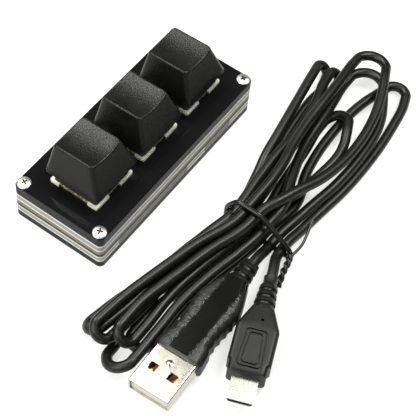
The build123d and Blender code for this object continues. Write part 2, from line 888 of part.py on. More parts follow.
def micro_b_outline():
    """The shell's section: flat on top, with slanted lower corners."""
    half = b_shell_width / 2
    high = b_shell_height / 2
    low = half - b_shell_slant
    points = [(-low, -high), (low, -high), (half, 0), (half, high), (-half, high), (-half, 0)]
    return make_face(Polyline(*points, close=True))


def micro_b_shell():
    return shell_tube(micro_b_outline(), b_shell_wall, b_shell_length, b_shell_insert)


def micro_b_insulator():
    length = b_shell_length + b_shell_insert - b_insulator_setback
    middle = (b_shell_height - b_insulator_thickness) / 2 - b_shell_wall - fit_gap
    width = b_shell_width - 2 * (b_shell_wall + fit_gap)
    return along_x(length, width, b_insulator_thickness, -b_shell_insert, 0, middle)


def micro_b_contacts():
    """Five narrow contacts on the lower face of the insulator."""
    length = b_shell_length - b_insulator_setback - b_contact_setback
    middle = (
        b_shell_height / 2 - b_shell_wall - fit_gap - b_insulator_thickness
        - b_contact_thickness / 2
    )
    return [
        along_x(
            length, b_contact_width, b_contact_thickness, 0,
            (index - (b_contact_count - 1) / 2) * b_contact_pitch, middle,
        )
        for index in range(b_contact_count)
    ]


def micro_b_overmould():
    """The small grip: nose, shoulder, taper to the relief and a framed raised panel."""
    nose = b_body_nose_width / 2
    half = b_body_width / 2
    neck = b_body_neck_width / 2
    high = b_body_thickness / 2
    thin = b_body_neck_thickness / 2
    taper_x = b_body_shoulder_length - b_body_length
    with BuildPart() as body:
        with BuildSketch(Plane.XY):
            with BuildLine():
                Polyline(
                    (0, -nose), (0, nose), (-b_body_nose_length, nose),
                    (-b_body_nose_length - half + nose, half), (taper_x, half),
                    (-b_body_length, neck), (-b_body_length, -neck), (taper_x, -half),
                    (-b_body_nose_length - half + nose, -half), (-b_body_nose_length, -nose),
                    close=True,
                )
            make_face()
        extrude(amount=high, both=True)
        with BuildSketch(Plane.XZ):
            flat_end = -b_panel_from_front - b_panel_length - b_panel_margin
            with BuildLine():
                Polyline((0, -high), (0, high), (flat_end, high), (-b_body_length, thin),
                         (-b_body_length, -thin), (flat_end, -high), close=True)
            make_face()
        extrude(amount=b_body_width, both=True, mode=Mode.INTERSECT)
    solid = body.part
    rims = solid.edges().filter_by(
        lambda edge: abs(edge.center().Z) > thin - pick_margin
        and pick_margin - b_body_length < edge.center().X < -pick_margin
        and abs(edge.center().Y) > neck / 2
    )
    solid = fillet(rims, b_body_edge_radius)
    pocket = Pos(-b_shell_insert, 0, 0) * Rot(0, 90, 0) * Rot(0, 0, 90) * extrude(
        offset(micro_b_outline(), fit_gap), b_shell_insert + cut_overrun
    )
    panel = panel_block(0)
    frame = panel_block(b_panel_margin) - panel_block(b_panel_margin + b_panel_groove)
    return solid - pocket + panel - Pos(0, 0, b_panel_rise / 2) * frame


def panel_block(margin):
    """The tapered panel on top of the small grip, drawn in by a margin all round."""
    start = -b_panel_from_front - margin
    end = -b_panel_from_front - b_panel_length + margin
    front = b_panel_front_width / 2 - margin
    back = b_panel_back_width / 2 - margin
    outline = Polyline((start, -front), (start, front), (end, back), (end, -back), close=True)
    face = make_face(outline)
    return Pos(0, 0, b_body_thickness / 2 - b_panel_rise) * extrude(face, 2 * b_panel_rise)


def plug_place(root, yaw, pitch, roll):
    """Where a plug lies: its root point and how it is turned, tipped and rolled."""
    return Pos(*root) * Rot(0, 0, yaw) * Rot(0, pitch, 0) * Rot(roll, 0, 0)


def relief_end(place, length):
    """The middle of the strain relief's free end and the way that the cable leaves it."""
    end = place * Pos(-length, 0, 0)
    beyond = place * Pos(-length - cable_diameter, 0, 0)
    return end.position, (beyond.position - end.position).normalized()


def cable_tube(edges, start, heading):
    """A round cable swept along joined edges from start."""
    profile = Plane(origin=start, z_dir=heading) * Circle(cable_diameter / 2)
    return sweep(profile, path=Wire(edges))


def slot_point(layer, column):
    """The place of one strand where the tie gathers the bundle."""
    y = tie_middle_y + (slot_middle - column) * slot_pitch
    return Vector(tie_x, y, first_layer_height + layer * slot_pitch)


def turn_nodes(turn):
    """The three points and headings of one half turn."""
    side, x, y, z, radius, fan, tilt, dip, far_first = turn
    fan_angle = math.radians(fan)
    tilt_angle = math.radians(tilt)
    dip_angle = math.radians(dip)
    level = Vector(side * math.cos(fan_angle), math.sin(fan_angle), 0)
    across = Vector(-level.Y, level.X, 0) * side * (1 if far_first else -1)
    out = level * math.cos(dip_angle) - Vector(0, 0, math.sin(dip_angle))
    lean = across * math.cos(tilt_angle) + Vector(0, 0, math.sin(tilt_angle))
    middle = Vector(x, y, z)
    return [
        (middle + lean * radius, out),
        (middle + out * radius, lean * -1),
        (middle - lean * radius, out * -1),
    ]


def hank_nodes():
    """Every point of the hank's route with its heading."""
    side = hank_turns[0][2][0]
    nodes = [(slot_point(*hank_turns[0][0]), Vector(side, 0, 0))]
    for index, (start, first_leg, turn, second_leg) in enumerate(hank_turns):
        last = index + 1 == len(hank_turns)
        finish = hank_end_slot if last else hank_turns[index + 1][0]
        bend = turn_nodes(turn)
        first = [slot_point(*start)] + [Vector(*point) for point in first_leg] + [bend[0][0]]
        second = [bend[2][0]] + [Vector(*point) for point in second_leg] + [slot_point(*finish)]
        nodes += leg_nodes(first) + bend + leg_nodes(second)
        nodes.append((second[-1], Vector(-turn[0], 0, 0)))
    return nodes


def leg_nodes(points):
    """The inner points of one leg, each heading midway between its two runs."""
    found = []
    for before, here, after in zip(points[:-2], points[1:-1], points[2:]):
        heading = (here - before).normalized() + (after - here).normalized()
        found.append((here, heading.normalized()))
    return found


def biarc_middle(start, heading, end, end_heading):
    """The point where two arcs that join smoothly between two nodes meet."""
    chord = end - start
    total = heading + end_heading
    spread = 2 * (1 - heading.dot(end_heading))
    along = chord.dot(total)
    if spread < small_angle:
        reach = chord.dot(chord) / (2 * along)
    else:
        reach = (math.sqrt(along**2 + spread * chord.dot(chord)) - along) / spread
    return (start + heading * reach + end - end_heading * reach) * 0.5


def hank_edges():
    """The arcs of the hank's route, in order."""
    nodes = hank_nodes()
    edges = []
    for (start, heading), (end, end_heading) in zip(nodes[:-1], nodes[1:]):
        middle = biarc_middle(start, heading, end, end_heading)
        first = smooth_piece(start, heading, middle)
        edges += [first, smooth_piece(middle, first % 1, end)]
    return edges


def smooth_piece(start, heading, end):
    """An arc that leaves start along heading, or a line where it would be straight."""
    if (end - start).normalized().cross(heading).length < small_angle:
        return Edge.make_line(start, end)
    return Edge.make_tangent_arc(start, heading, end)


def least_gap(edges):
    """The least distance between two stretches of the cable's surface, away from each other."""
    points = []
    for edge in edges:
        count = max(1, round(edge.length / gap_sample_step))
        points += [edge @ (index / count) for index in range(count)]
    places = [(point.X, point.Y, point.Z) for point in points]
    skip = round(gap_skip_length / gap_sample_step)
    least = min(
        math.dist(places[one], places[two])
        for one in range(len(places))
        for two in range(one + skip, len(places))
        if abs(places[one][0] - places[two][0]) < gap_skip_length
    )
    return least - cable_diameter


def lead_points(start, heading, end, end_heading):
    """A short free stretch: straight out of both ends, with one run between."""
    first = start + heading * lead_straight
    last = end + end_heading * lead_straight
    return [start, first, last, end]


def fillet_radii(points):
    """For each corner, 0.45 of the shorter run over the tangent of half the turn."""
    radii = []
    for before, here, after in zip(points[:-2], points[1:-1], points[2:]):
        turn = math.radians((here - before).get_angle(after - here))
        run = min((here - before).length, (after - here).length)
        radii.append(run_share * run / math.tan(turn / 2))
    return radii


def tube_along(points, diameter, name):
    """A tube on straight runs with tangent arcs, its radii printed."""
    radii = fillet_radii(points)
    print(name, "radii", [round(radius, 1) for radius in radii])
    line = FilletPolyline(*points, radius=radii)
    profile = Plane(origin=points[0], z_dir=points[1] - points[0]) * Circle(diameter / 2)
    tube = sweep(profile, path=line)
    share = tube.volume / (math.pi * diameter**2 / 4 * line.length)
    print(name, "length", round(line.length, 1), "volume share", round(share, 3))
    return tube


def cable_tie():
    """A wire loop round the bundle, its twisted ends and one loose tail."""
    loop = [Vector(tie_x, y, z) for y, z in tie_loop]
    ring = FilletPolyline(*loop, radius=tie_corner_radius, close=True)
    start = ring @ 0
    band = sweep(Plane(origin=start, z_dir=ring % 0) * Circle(tie_wire / 2), path=ring)
    twist = tube_along([Vector(*point) for point in tie_twist], tie_twist_diameter, "tie twist")
    tail = tube_along([Vector(*point) for point in tie_tail], tie_wire, "tie tail")
    return band + twist + tail


def export(name, pieces):
    """Write one node as one STEP file."""
    shape = Compound(children=list(pieces)) if isinstance(pieces, list) else pieces
    export_step(shape, os.path.join("parts", name + ".step"))


def main():
    os.makedirs("parts", exist_ok=True)
    export("top_plate", top_plate())
    export("upper_spacer", upper_spacer())
    export("circuit_board", circuit_board())
    export("lower_spacer", lower_spacer())
    export("bottom_plate", bottom_plate())
    export("case_screws", case_screws())
    export("case_nuts", case_nuts())
    for number, x in enumerate(key_places, start=1):
        export(f"keycap_{number}", keycap(x))
        export(f"switch_top_housing_{number}", switch_top_housing(x))
        export(f"switch_base_housing_{number}", switch_base_housing(x))
        export(f"switch_stem_{number}", switch_stem(x))
        export(f"switch_spring_{number}", switch_spring(x))
        export(f"switch_fixed_contact_{number}", fixed_contact(x))
        export(f"switch_moving_contact_{number}", moving_contact(x))
    export("usb_socket_shell", usb_socket_shell())
    export("usb_socket_tongue", usb_socket_tongue())
    export("usb_socket_contacts", usb_socket_contacts())
    export("controller_chip", controller_chip())
    export("controller_leads", controller_leads())
    export("board_resistors", board_resistors())
    export("board_capacitors", board_capacitors())

    a_place = plug_place(a_root, a_yaw, a_pitch, a_roll)
    b_place = plug_place(b_root, b_yaw, b_pitch, b_roll)
    a_relief = relief(a_relief_front_diameter, a_relief_back_diameter, a_relief_length,
                      a_relief_rings)
    b_relief = relief(b_relief_front_diameter, b_relief_back_diameter, b_relief_length,
                      b_relief_rings)
    export("usb_a_shell", a_place * usb_a_shell())
    export("usb_a_insulator", a_place * usb_a_insulator())
    export("usb_a_contacts", [a_place * contact for contact in usb_a_contacts()])
    export("usb_a_overmould", a_place * usb_a_overmould())
    export("usb_a_strain_relief", a_place * Pos(-a_body_length, 0, 0) * a_relief)
    export("micro_b_shell", b_place * micro_b_shell())
    export("micro_b_insulator", b_place * micro_b_insulator())
    export("micro_b_contacts", [b_place * contact for contact in micro_b_contacts()])
    export("micro_b_overmould", b_place * micro_b_overmould())
    export("micro_b_strain_relief", b_place * Pos(-b_body_length, 0, 0) * b_relief)

    edges = hank_edges()
    start_side = Vector(hank_turns[0][2][0], 0, 0)
    start = slot_point(*hank_turns[0][0])
    finish = slot_point(*hank_end_slot)
    hank = cable_tube(edges, start, start_side)
    hank_length = sum(edge.length for edge in edges)
    share = hank.volume / (math.pi * cable_diameter**2 / 4 * hank_length)
    print("hank length", round(hank_length, 1), "volume share", round(share, 4))
    print("hank least gap", round(least_gap(edges), 2))
    export("cable_hank", hank)
    for name, place, length, joint in (
        ("usb_a_lead", a_place, a_body_length + a_relief_length, finish),
        ("micro_b_lead", b_place, b_body_length + b_relief_length, start),
    ):
        end, heading = relief_end(place, length)
        points = lead_points(end, heading, joint, start_side * -1)
        export(name, tube_along(points, cable_diameter, name))
    export("cable_tie", cable_tie())


main()
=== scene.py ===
"""Looks of a three-key macro keypad and its tied data cable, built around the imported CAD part."""

import logging
import math
from dataclasses import dataclass, field
from enum import Enum
from typing import Callable, Optional, Sequence, Union

import bmesh
import bpy
from mathutils import Matrix, Vector


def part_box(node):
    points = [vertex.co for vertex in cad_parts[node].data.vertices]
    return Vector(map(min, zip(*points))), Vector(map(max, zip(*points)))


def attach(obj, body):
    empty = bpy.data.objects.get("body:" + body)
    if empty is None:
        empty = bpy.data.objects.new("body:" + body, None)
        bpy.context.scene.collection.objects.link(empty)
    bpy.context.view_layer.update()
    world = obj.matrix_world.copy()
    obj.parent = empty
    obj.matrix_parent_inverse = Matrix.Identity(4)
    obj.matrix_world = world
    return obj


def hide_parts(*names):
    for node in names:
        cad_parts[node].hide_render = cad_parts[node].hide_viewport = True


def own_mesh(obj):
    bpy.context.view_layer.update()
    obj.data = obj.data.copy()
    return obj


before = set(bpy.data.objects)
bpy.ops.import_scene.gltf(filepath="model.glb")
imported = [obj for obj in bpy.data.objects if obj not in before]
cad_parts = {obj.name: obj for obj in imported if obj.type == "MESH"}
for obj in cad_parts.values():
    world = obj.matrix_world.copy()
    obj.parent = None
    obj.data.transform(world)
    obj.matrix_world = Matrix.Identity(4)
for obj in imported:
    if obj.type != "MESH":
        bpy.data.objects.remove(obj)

MM = 0.001
BODY = "case"
PLATE_TOP = 12.9
# Each key's number and its middle along the case
KEYS = {1: -20.0, 2: 0.0, 3: 20.0}
# Degrees of bend from which an edge stays crisp, and metres within which points are one
CRISP = 38.0
MERGE = 1e-7
# Least turn between two headings that an arc is worked out for
STRAIGHT = 1e-4
ACRYLIC_INDEX = 1.49
log = logging.getLogger("keypad")

Colour = tuple[float, float, float]
Point = tuple[float, float, float]
Pair = tuple[float, float]
Ring = list[Vector]
Waypoint = tuple[Vector, Vector]


# Shader maths


def maths(operation: str, swapped: bool = False) -> Callable[["Wire", "Number"], "Wire"]:
    """A method of Wire that adds one Math node with two inputs.

    Args:
        operation: The node's operation.
        swapped: Whether the other value comes first.

    Returns:
        The method.
    """

    def method(wire: "Wire", other: "Number") -> "Wire":
        """Join the wire and the other value."""
        return wire.join(operation, *((other, wire) if swapped else (wire, other)))

    return method


class Wire:
    """One output of a shader node that takes part in Python arithmetic."""

    __add__, __radd__ = maths("ADD"), maths("ADD", True)
    __sub__, __rsub__ = maths("SUBTRACT"), maths("SUBTRACT", True)
    __mul__, __rmul__ = maths("MULTIPLY"), maths("MULTIPLY", True)
    __truediv__ = maths("DIVIDE")
    __gt__, __lt__ = maths("GREATER_THAN"), maths("LESS_THAN")

    def __init__(self, tree: bpy.types.NodeTree, socket: bpy.types.NodeSocket) -> None:
        """Keep the tree and the socket."""
        self.tree = tree
        self.socket = socket

    def join(self, operation: str, *values: "Number") -> "Wire":
        """Add one Math node.

        Args:
            operation: The node's operation.
            values: What feeds its inputs, in order.

        Returns:
            The node's output.
        """
        node = self.tree.nodes.new("ShaderNodeMath")
        node.operation = operation
        for socket, value in zip(node.inputs, values):
            feed(self.tree, socket, value)
        return Wire(self.tree, node.outputs[0])

    def absolute(self) -> "Wire":
        """Size without the sign."""
        return self.join("ABSOLUTE", self)

    def wrapped(self, span: float) -> "Wire":
        """What is left after whole spans are taken off."""
        return self.join("MODULO", self, span)

    def between(self, low: float, high: float) -> "Wire":
        """A soft step from zero at low to one at high.

        Args:
            low: Where the step starts.
            high: Where the step ends.

        Returns:
            The step, held within zero and one.
        """
        node = self.tree.nodes.new("ShaderNodeMapRange")
        node.interpolation_type = "SMOOTHSTEP"
        feed(self.tree, node.inputs["Value"], self)
        node.inputs["From Min"].default_value = low
        node.inputs["From Max"].default_value = high
        return Wire(self.tree, node.outputs["Result"])


Number = Union[float, Wire]


def feed(tree: bpy.types.NodeTree, socket: bpy.types.NodeSocket, value: object) -> None:
    """Link a wire or a socket, or set a constant.

    Args:
        tree: The node tree.
        socket: The input to fill.
        value: A wire, an output socket, a number or a tuple.
    """
    if isinstance(value, Wire):
        tree.links.new(value.socket, socket)
    elif isinstance(value, bpy.types.NodeSocket):
        tree.links.new(value, socket)
    elif isinstance(value, tuple) and len(value) == 3 and socket.type == "RGBA":
        socket.default_value = (*value, 1.0)
    else:
        socket.default_value = value


class Surface:
    """A material in the making: its tree, its places in millimetres and its main shader."""

    level: float = 0.3

    def __init__(self, name: str) -> None:
        """Start a material of that name with one main shader.

        Args:
            name: The material's name.
        """
        self.material = bpy.data.materials.new(name)
        self.material.use_nodes = True
        self.tree = self.material.node_tree
        self.main = self.tree.nodes["Principled BSDF"]
        self.place = self.node(
            "ShaderNodeVectorMath",
            {"operation": "SCALE"},
            {0: self.node("ShaderNodeTexCoord").outputs["Object"], "Scale": 1.0 / MM},
        ).outputs[0]

    def node(
        self, kind: str, settings: Optional[dict] = None, sockets: Optional[dict] = None
    ) -> bpy.types.Node:
        """Add any node.

        Args:
            kind: Its type name.
            settings: Properties to set on it.
            sockets: Values or wires for its inputs, by name or number.

        Returns:
            The node.
        """
        made = self.tree.nodes.new(kind)
        for name, value in (settings or {}).items():
            setattr(made, name, value)
        for name, value in (sockets or {}).items():
            feed(self.tree, made.inputs[name], value)
        return made

    def stretched(self, factors: Point) -> bpy.types.NodeSocket:
        """The place with each axis multiplied by a factor.

        Args:
            factors: The three factors.

        Returns:
            The output that carries it.
        """
        return self.node(
            "ShaderNodeVectorMath", {"operation": "MULTIPLY"}, {0: self.place, 1: factors}
        ).outputs[0]

    def noise(self, size: float, detail: float = 2.0, factors: Optional[Point] = None) -> Wire:
        """Noise with grains of one size.

        Args:
            size: Grain size in millimetres.
            detail: Octaves of finer grain.
            factors: Stretch of each axis, or none.

        Returns:
            A value about one half.
        """
        where = self.stretched(factors) if factors else self.place
        made = self.node(
            "ShaderNodeTexNoise", None, {"Vector": where, "Scale": 1.0 / size, "Detail": detail}
        )
        return Wire(self.tree, made.outputs["Fac"])

    def seen(self) -> Wire:
        """One for rays from the camera, a mirror or a clear piece, else zero.

        Returns:
            The sum of the three kinds.
        """
        path = self.node("ShaderNodeLightPath")
        kinds = ("Is Camera Ray", "Is Glossy Ray", "Is Transmission Ray")
        camera, glossy, through = (Wire(self.tree, path.outputs[kind]) for kind in kinds)
        return camera + glossy + through

    def axes(self) -> tuple[Wire, Wire, Wire]:
        """The three parts of the place, in millimetres."""
        made = self.node("ShaderNodeSeparateXYZ", None, {0: self.place})
        return tuple(Wire(self.tree, made.outputs[index]) for index in range(3))

    def upright(self) -> Wire:
        """One on faces that stand upright, zero on level ones.

        Returns:
            The value.
        """
        normal = self.node("ShaderNodeNewGeometry").outputs["True Normal"]
        made = self.node("ShaderNodeSeparateXYZ", None, {0: normal})
        return Wire(self.tree, made.outputs["Z"]).absolute() < self.level

    def attribute(self, name: str) -> Wire:
        """A number that a mesh carries under that name."""
        made = self.node("ShaderNodeAttribute", {"attribute_name": name})
        return Wire(self.tree, made.outputs["Fac"])

    def blend(self, share: Number, low: object, high: object) -> bpy.types.NodeSocket:
        """A colour between two others.

        Args:
            share: Zero for the first, one for the second.
            low: The first colour.
            high: The second colour.

        Returns:
            The mixed colour's socket.
        """
        made = self.node("ShaderNodeMix", {"data_type": "RGBA"})
        feed(self.tree, made.inputs[0], share)
        feed(self.tree, made.inputs[6], low)
        feed(self.tree, made.inputs[7], high)
        return made.outputs[2]

    def set(self, **values: object) -> None:
        """Fill inputs of the main shader, named with underscores for spaces."""
        for name, value in values.items():
            feed(self.tree, self.main.inputs[name.replace("_", " ")], value)

    def relief(self, height: Wire, depth: float, strength: float = 1.0) -> None:
        """Bump the surface.

        Args:
            height: The height's share.
            depth: The full height in millimetres.
            strength: How far the bump is taken.
        """
        made = self.node(
            "ShaderNodeBump", None,
            {"Height": height, "Distance": depth * MM, "Strength": strength},
        )
        self.set(Normal=made.outputs["Normal"])


# Finishes


@dataclass(frozen=True)
class Finish:
    """What every finish has: its own name and the record's slot."""

    name: str
    slot: str

    def dress(self, surface: Surface) -> None:
        """Fill in the main shader."""
        raise NotImplementedError

    def material(self) -> bpy.types.Material:
        """The finish's material, made once.

        Returns:
            The material, found again by its name.
        """
        known = bpy.data.materials.get(self.name)
        if known is None:
            surface = Surface(self.name)
            self.dress(surface)
            known = surface.material
        return known


@dataclass(frozen=True)
class SheetFinish(Finish):
    """Cast glossy sheet with faint rub marks and machine-cut edges."""

    face: Colour = (0.006, 0.006, 0.0065)
    edge: Colour = (0.006, 0.006, 0.0062)
    line: Colour = (0.014, 0.014, 0.013)
    gloss: float = 0.13
    face_roughness: float = 0.045
    edge_roughness: float = 0.34
    rub: float = 14.0
    rub_step: Pair = (0.45, 0.75)
    rub_roughness: float = 0.03
    saw: float = 0.35
    saw_stretch: Point = (1.0, 1.0, 0.06)
    saw_step: Pair = (0.4, 0.65)
    saw_roughness: float = 0.12
    saw_depth: float = 0.06
    saw_strength: float = 0.6

    def dress(self, surface: Surface) -> None:
        """Glossy faces, and edges with upright cutting lines.

        Args:
            surface: The material in the making.
        """
        side = surface.upright()
        rubbed = surface.noise(self.rub, 4.0).between(*self.rub_step)
        lines = surface.noise(self.saw, 1.0, self.saw_stretch)
        sawn = surface.blend(lines.between(*self.saw_step), self.edge, self.line)
        rougher = self.edge_roughness - self.face_roughness
        surface.set(
            Base_Color=surface.blend(side, self.face, sawn),
            Roughness=side * (rougher + self.saw_roughness * lines)
            + self.face_roughness + rubbed * self.rub_roughness,
            IOR=ACRYLIC_INDEX,
            Specular_IOR_Level=self.gloss,
        )
        surface.relief(lines * side, self.saw_depth, self.saw_strength)


@dataclass(frozen=True)
class ClearFinish(Finish):
    """Clear sheet whose machine-cut edges scatter the light, with painted light in bright rims and
    a duller middle, and painted shade before its openings.
    """

    bottom: float = 6.9
    thickness: float = 3.0
    # Stretches along X with a cavity behind the front wall, which take painted shade
    hollows: tuple[Pair, ...] = ()
    # Painted light carried through the sheet: bright rims and a duller middle
    bright: Colour = (0.98, 0.98, 0.95)
    dull: Colour = (0.38, 0.38, 0.35)
    # Colour of the painted shade of a cavity seen through the clear wall
    dark: Colour = (0.05, 0.048, 0.04)
    joint: Colour = (0.10, 0.10, 0.09)
    edge_roughness: float = 0.22
    face_roughness: float = 0.03
    passing: float = 0.22
    saw: float = 0.4
    saw_stretch: Point = (1.0, 1.0, 0.05)
    saw_share: float = 0.7
    saw_roughness: float = 0.2
    saw_depth: float = 0.08
    saw_strength: float = 0.7
    band: float = 0.5
    band_stretch: Point = (0.06, 0.06, 2.0)
    band_share: float = 0.9
    rim_step: Pair = (0.1, 0.4)
    bright_step: Pair = (0.1, 0.9)
    joint_step: Pair = (0.42, 0.47)
    front_step: Pair = (-14.0, -13.0)
    hollow_soft: float = 0.4
    hollow_share: float = 0.75
    hollow_lines: float = 0.3

    def dress(self, surface: Surface) -> None:
        """Painted light in bright rims above and below a duller middle, painted shade before the
        openings, and upright cutting lines.

        Args:
            surface: The material in the making.
        """
        side = surface.upright()
        x, y, z = surface.axes()
        lines = surface.noise(self.saw, 2.0, self.saw_stretch)
        bands = surface.noise(self.band, 2.0, self.band_stretch)
        # Painted light: brighter towards the top and bottom rims of the edge
        off_middle = ((z - self.bottom) / self.thickness - 0.5).absolute()
        uneven = off_middle.between(*self.rim_step) + (lines - 0.5) * self.saw_share
        rim = (uneven + (bands - 0.5) * self.band_share).between(*self.bright_step)
        colour = surface.blend(rim, self.dull, self.bright)
        colour = surface.blend(off_middle.between(*self.joint_step) * side, colour, self.joint)
        # Painted shade on the front wall where a cavity lies behind it
        soft = self.hollow_soft
        for start, end in self.hollows:
            inside = x.between(start - soft, start + soft) * (
                1.0 - x.between(end - soft, end + soft)
            )
            front = 1.0 - y.between(*self.front_step)
            share = inside * front * (self.hollow_share + lines * self.hollow_lines)
            colour = surface.blend(share, colour, self.dark)
        surface.set(
            Base_Color=colour,
            Roughness=side * (self.edge_roughness + self.saw_roughness * lines)
            + self.face_roughness,
            IOR=ACRYLIC_INDEX,
            Transmission_Weight=self.passing,
        )
        surface.relief(lines * side, self.saw_depth, self.saw_strength)


@dataclass(frozen=True)
class LaminateFinish(Finish):
    """Circuit board: dark masked faces and a pale cut edge of pressed layers."""

    mask: Colour = (0.012, 0.014, 0.012)
    glass: Colour = (0.20, 0.155, 0.10)
    pale: Colour = (0.34, 0.28, 0.20)
    bottom: float = 4.9
    mask_height: float = 0.9
    roughness: float = 0.25
    edge_roughness: float = 0.6
    layer: float = 0.5
    layer_stretch: Point = (0.12, 0.12, 2.6)
    layer_step: Pair = (0.3, 0.7)
    layer_depth: float = 0.03
    layer_strength: float = 0.5

    def dress(self, surface: Surface) -> None:
        """Layer lines on the edge, with the lower mask as a dark line.

        Args:
            surface: The material in the making.
        """
        side = surface.upright()
        height = surface.axes()[2]
        layers = surface.noise(self.layer, 3.0, self.layer_stretch)
        edge = surface.blend(layers.between(*self.layer_step), self.glass, self.pale)
        masked = 1.0 - side * (height > self.bottom + self.mask_height)
        surface.set(
            Base_Color=surface.blend(masked, edge, self.mask),
            Roughness=side * (self.edge_roughness - self.roughness) + self.roughness,
        )
        surface.relief(layers * side, self.layer_depth, self.layer_strength)


@dataclass(frozen=True)
class MetalFinish(Finish):
    """Plated or bare metal with a fine grain and dull spots."""

    colour: Colour = (0.70, 0.68, 0.63)
    roughness: float = 0.15
    grain: float = 0.12
    stretch: Point = (1.0, 1.0, 1.0)
    # Whether recess faces take brown painted shade, and its colour
    shade_painted: bool = False
    painted_shade: Colour = (0.12, 0.07, 0.03)
    dulled: float = 0.86
    cloud: float = 2.5
    cloud_step: Pair = (0.4, 0.8)
    cloud_roughness: float = 0.05
    grain_roughness: float = 0.06
    grain_height: float = 0.006
    strength: float = 0.4

    def dress(self, surface: Surface) -> None:
        """Metal with grain, and brown painted shade on faces that the mesh marks as recess.

        Args:
            surface: The material in the making.
        """
        grain = surface.noise(self.grain, 2.0, self.stretch)
        cloudy = surface.noise(self.cloud, 3.0).between(*self.cloud_step)
        dull = tuple(self.dulled * part for part in self.colour)
        base: object = surface.blend(cloudy, self.colour, dull)
        # Painted shade: brown on the faces marked as recess
        if self.shade_painted:
            base = surface.blend(surface.attribute("recess"), base, self.painted_shade)
        surface.set(
            Base_Color=base,
            Metallic=1.0,
            Roughness=self.roughness + cloudy * self.cloud_roughness
            + grain * self.grain_roughness,
        )
        surface.relief(grain, self.grain_height, self.strength)


@dataclass(frozen=True)
class MouldedFinish(Finish):
    """Moulded plastic with a fine eroded grain."""

    colour: Colour = (0.012, 0.012, 0.012)
    worn: Colour = (0.018, 0.018, 0.018)
    roughness: float = 0.36
    grain: float = 0.16
    grain_height: float = 0.012
    cloud: float = 6.0
    gloss: float = 0.5
    cloud_step: Pair = (0.35, 0.75)
    cloud_roughness: float = 0.08
    grain_roughness: float = 0.1
    strength: float = 0.8

    def dress(self, surface: Surface) -> None:
        """Grain in the bump, and slow changes of colour and gloss.

        Args:
            surface: The material in the making.
        """
        grain = surface.noise(self.grain)
        cloudy = surface.noise(self.cloud, 3.0).between(*self.cloud_step)
        surface.set(
            Base_Color=surface.blend(cloudy, self.colour, self.worn),
            Roughness=self.roughness + (cloudy - 0.5) * self.cloud_roughness
            + (grain - 0.5) * self.grain_roughness,
            Specular_IOR_Level=self.gloss,
        )
        surface.relief(grain, self.grain_height, self.strength)


@dataclass(frozen=True)
class PaddedFinish(MouldedFinish):
    """A smooth moulded grip with coarsely grained pads along both sides."""

    middle: float = 0.0
    pad_step: Pair = (2.4, 3.8)
    pad_grain: float = 0.55
    pad_height: float = 0.2
    pad_roughness: float = 0.38
    ragged: float = 2.2
    ragged_reach: float = 1.6
    drawn: float = 0.5
    drawn_stretch: Point = (0.12, 1.0, 1.0)
    drawn_roughness: float = 0.04
    fine_share: float = 0.03

    def dress(self, surface: Surface) -> None:
        """Fine scratches in the middle that give way to the pads' grain.

        Args:
            surface: The material in the making.
        """
        away = (surface.axes()[1] - self.middle).absolute()
        ragged = (surface.noise(self.ragged, 3.0) - 0.5) * self.ragged_reach
        pad = (away + ragged).between(*self.pad_step)
        coarse = surface.noise(self.pad_grain, 3.0)
        fine = surface.noise(self.grain)
        drawn = surface.noise(self.drawn, 2.0, self.drawn_stretch)
        surface.set(
            Base_Color=surface.blend(pad * coarse, self.colour, self.worn),
            Roughness=self.roughness + pad * (self.pad_roughness - self.roughness)
            + drawn * self.drawn_roughness,
            Specular_IOR_Level=self.gloss,
        )
        height = pad * coarse + (1.0 - pad) * (fine + drawn) * self.fine_share
        surface.relief(height, self.pad_height, self.strength)


@dataclass(frozen=True)
class FlangeFinish(MouldedFinish):
    """Cream plastic whose thin stretches between the lugs carry olive painted shade."""

    # Olive painted shade of the thin stretches, with paler streaks in it
    painted_shade: Colour = (0.17, 0.145, 0.08)
    streak: Colour = (0.50, 0.48, 0.38)
    streak_size: float = 0.9
    streak_step: Pair = (0.52, 0.62)
    pitch: float = 20.0
    reach: float = 30.0
    end_inner: float = 6.95
    end_half: float = 4.8
    side_inner: float = 6.75
    side_half: float = 2.4

    def dress(self, surface: Surface) -> None:
        """The moulded finish with the painted shade over it.

        Args:
            surface: The material in the making.
        """
        super().dress(surface)
        x, y, _ = surface.axes()
        along = ((x + self.reach).wrapped(self.pitch) - self.pitch / 2).absolute()
        across = y.absolute()
        # Painted shade on the thin stretches at the ends and sides of each flange
        shade_painted = (along > self.end_inner) * (across < self.end_half)
        shade_painted = shade_painted + (across > self.side_inner) * (along < self.side_half)
        streaks = surface.noise(self.streak_size).between(*self.streak_step)
        thin = surface.blend(streaks, self.painted_shade, self.streak)
        surface.set(Base_Color=surface.blend(shade_painted, self.colour, thin))


@dataclass(frozen=True)
class InsulatorFinish(MouldedFinish):
    """Plug insulator: amber inside, pale where light reaches its end."""

    tip: float = 0.0
    depth: float = 1.2
    pale: Colour = (0.72, 0.69, 0.62)
    amber_size: float = 1.2
    amber_step: Pair = (0.35, 0.65)

    def dress(self, surface: Surface) -> None:
        """The moulded finish, paler towards the tip.

        Args:
            surface: The material in the making.
        """
        super().dress(surface)
        inside = surface.axes()[0].between(self.tip, self.tip + self.depth)
        cloudy = surface.noise(self.amber_size).between(*self.amber_step)
        amber = surface.blend(cloudy, self.colour, self.worn)
        surface.set(Base_Color=surface.blend(inside, self.pale, amber))


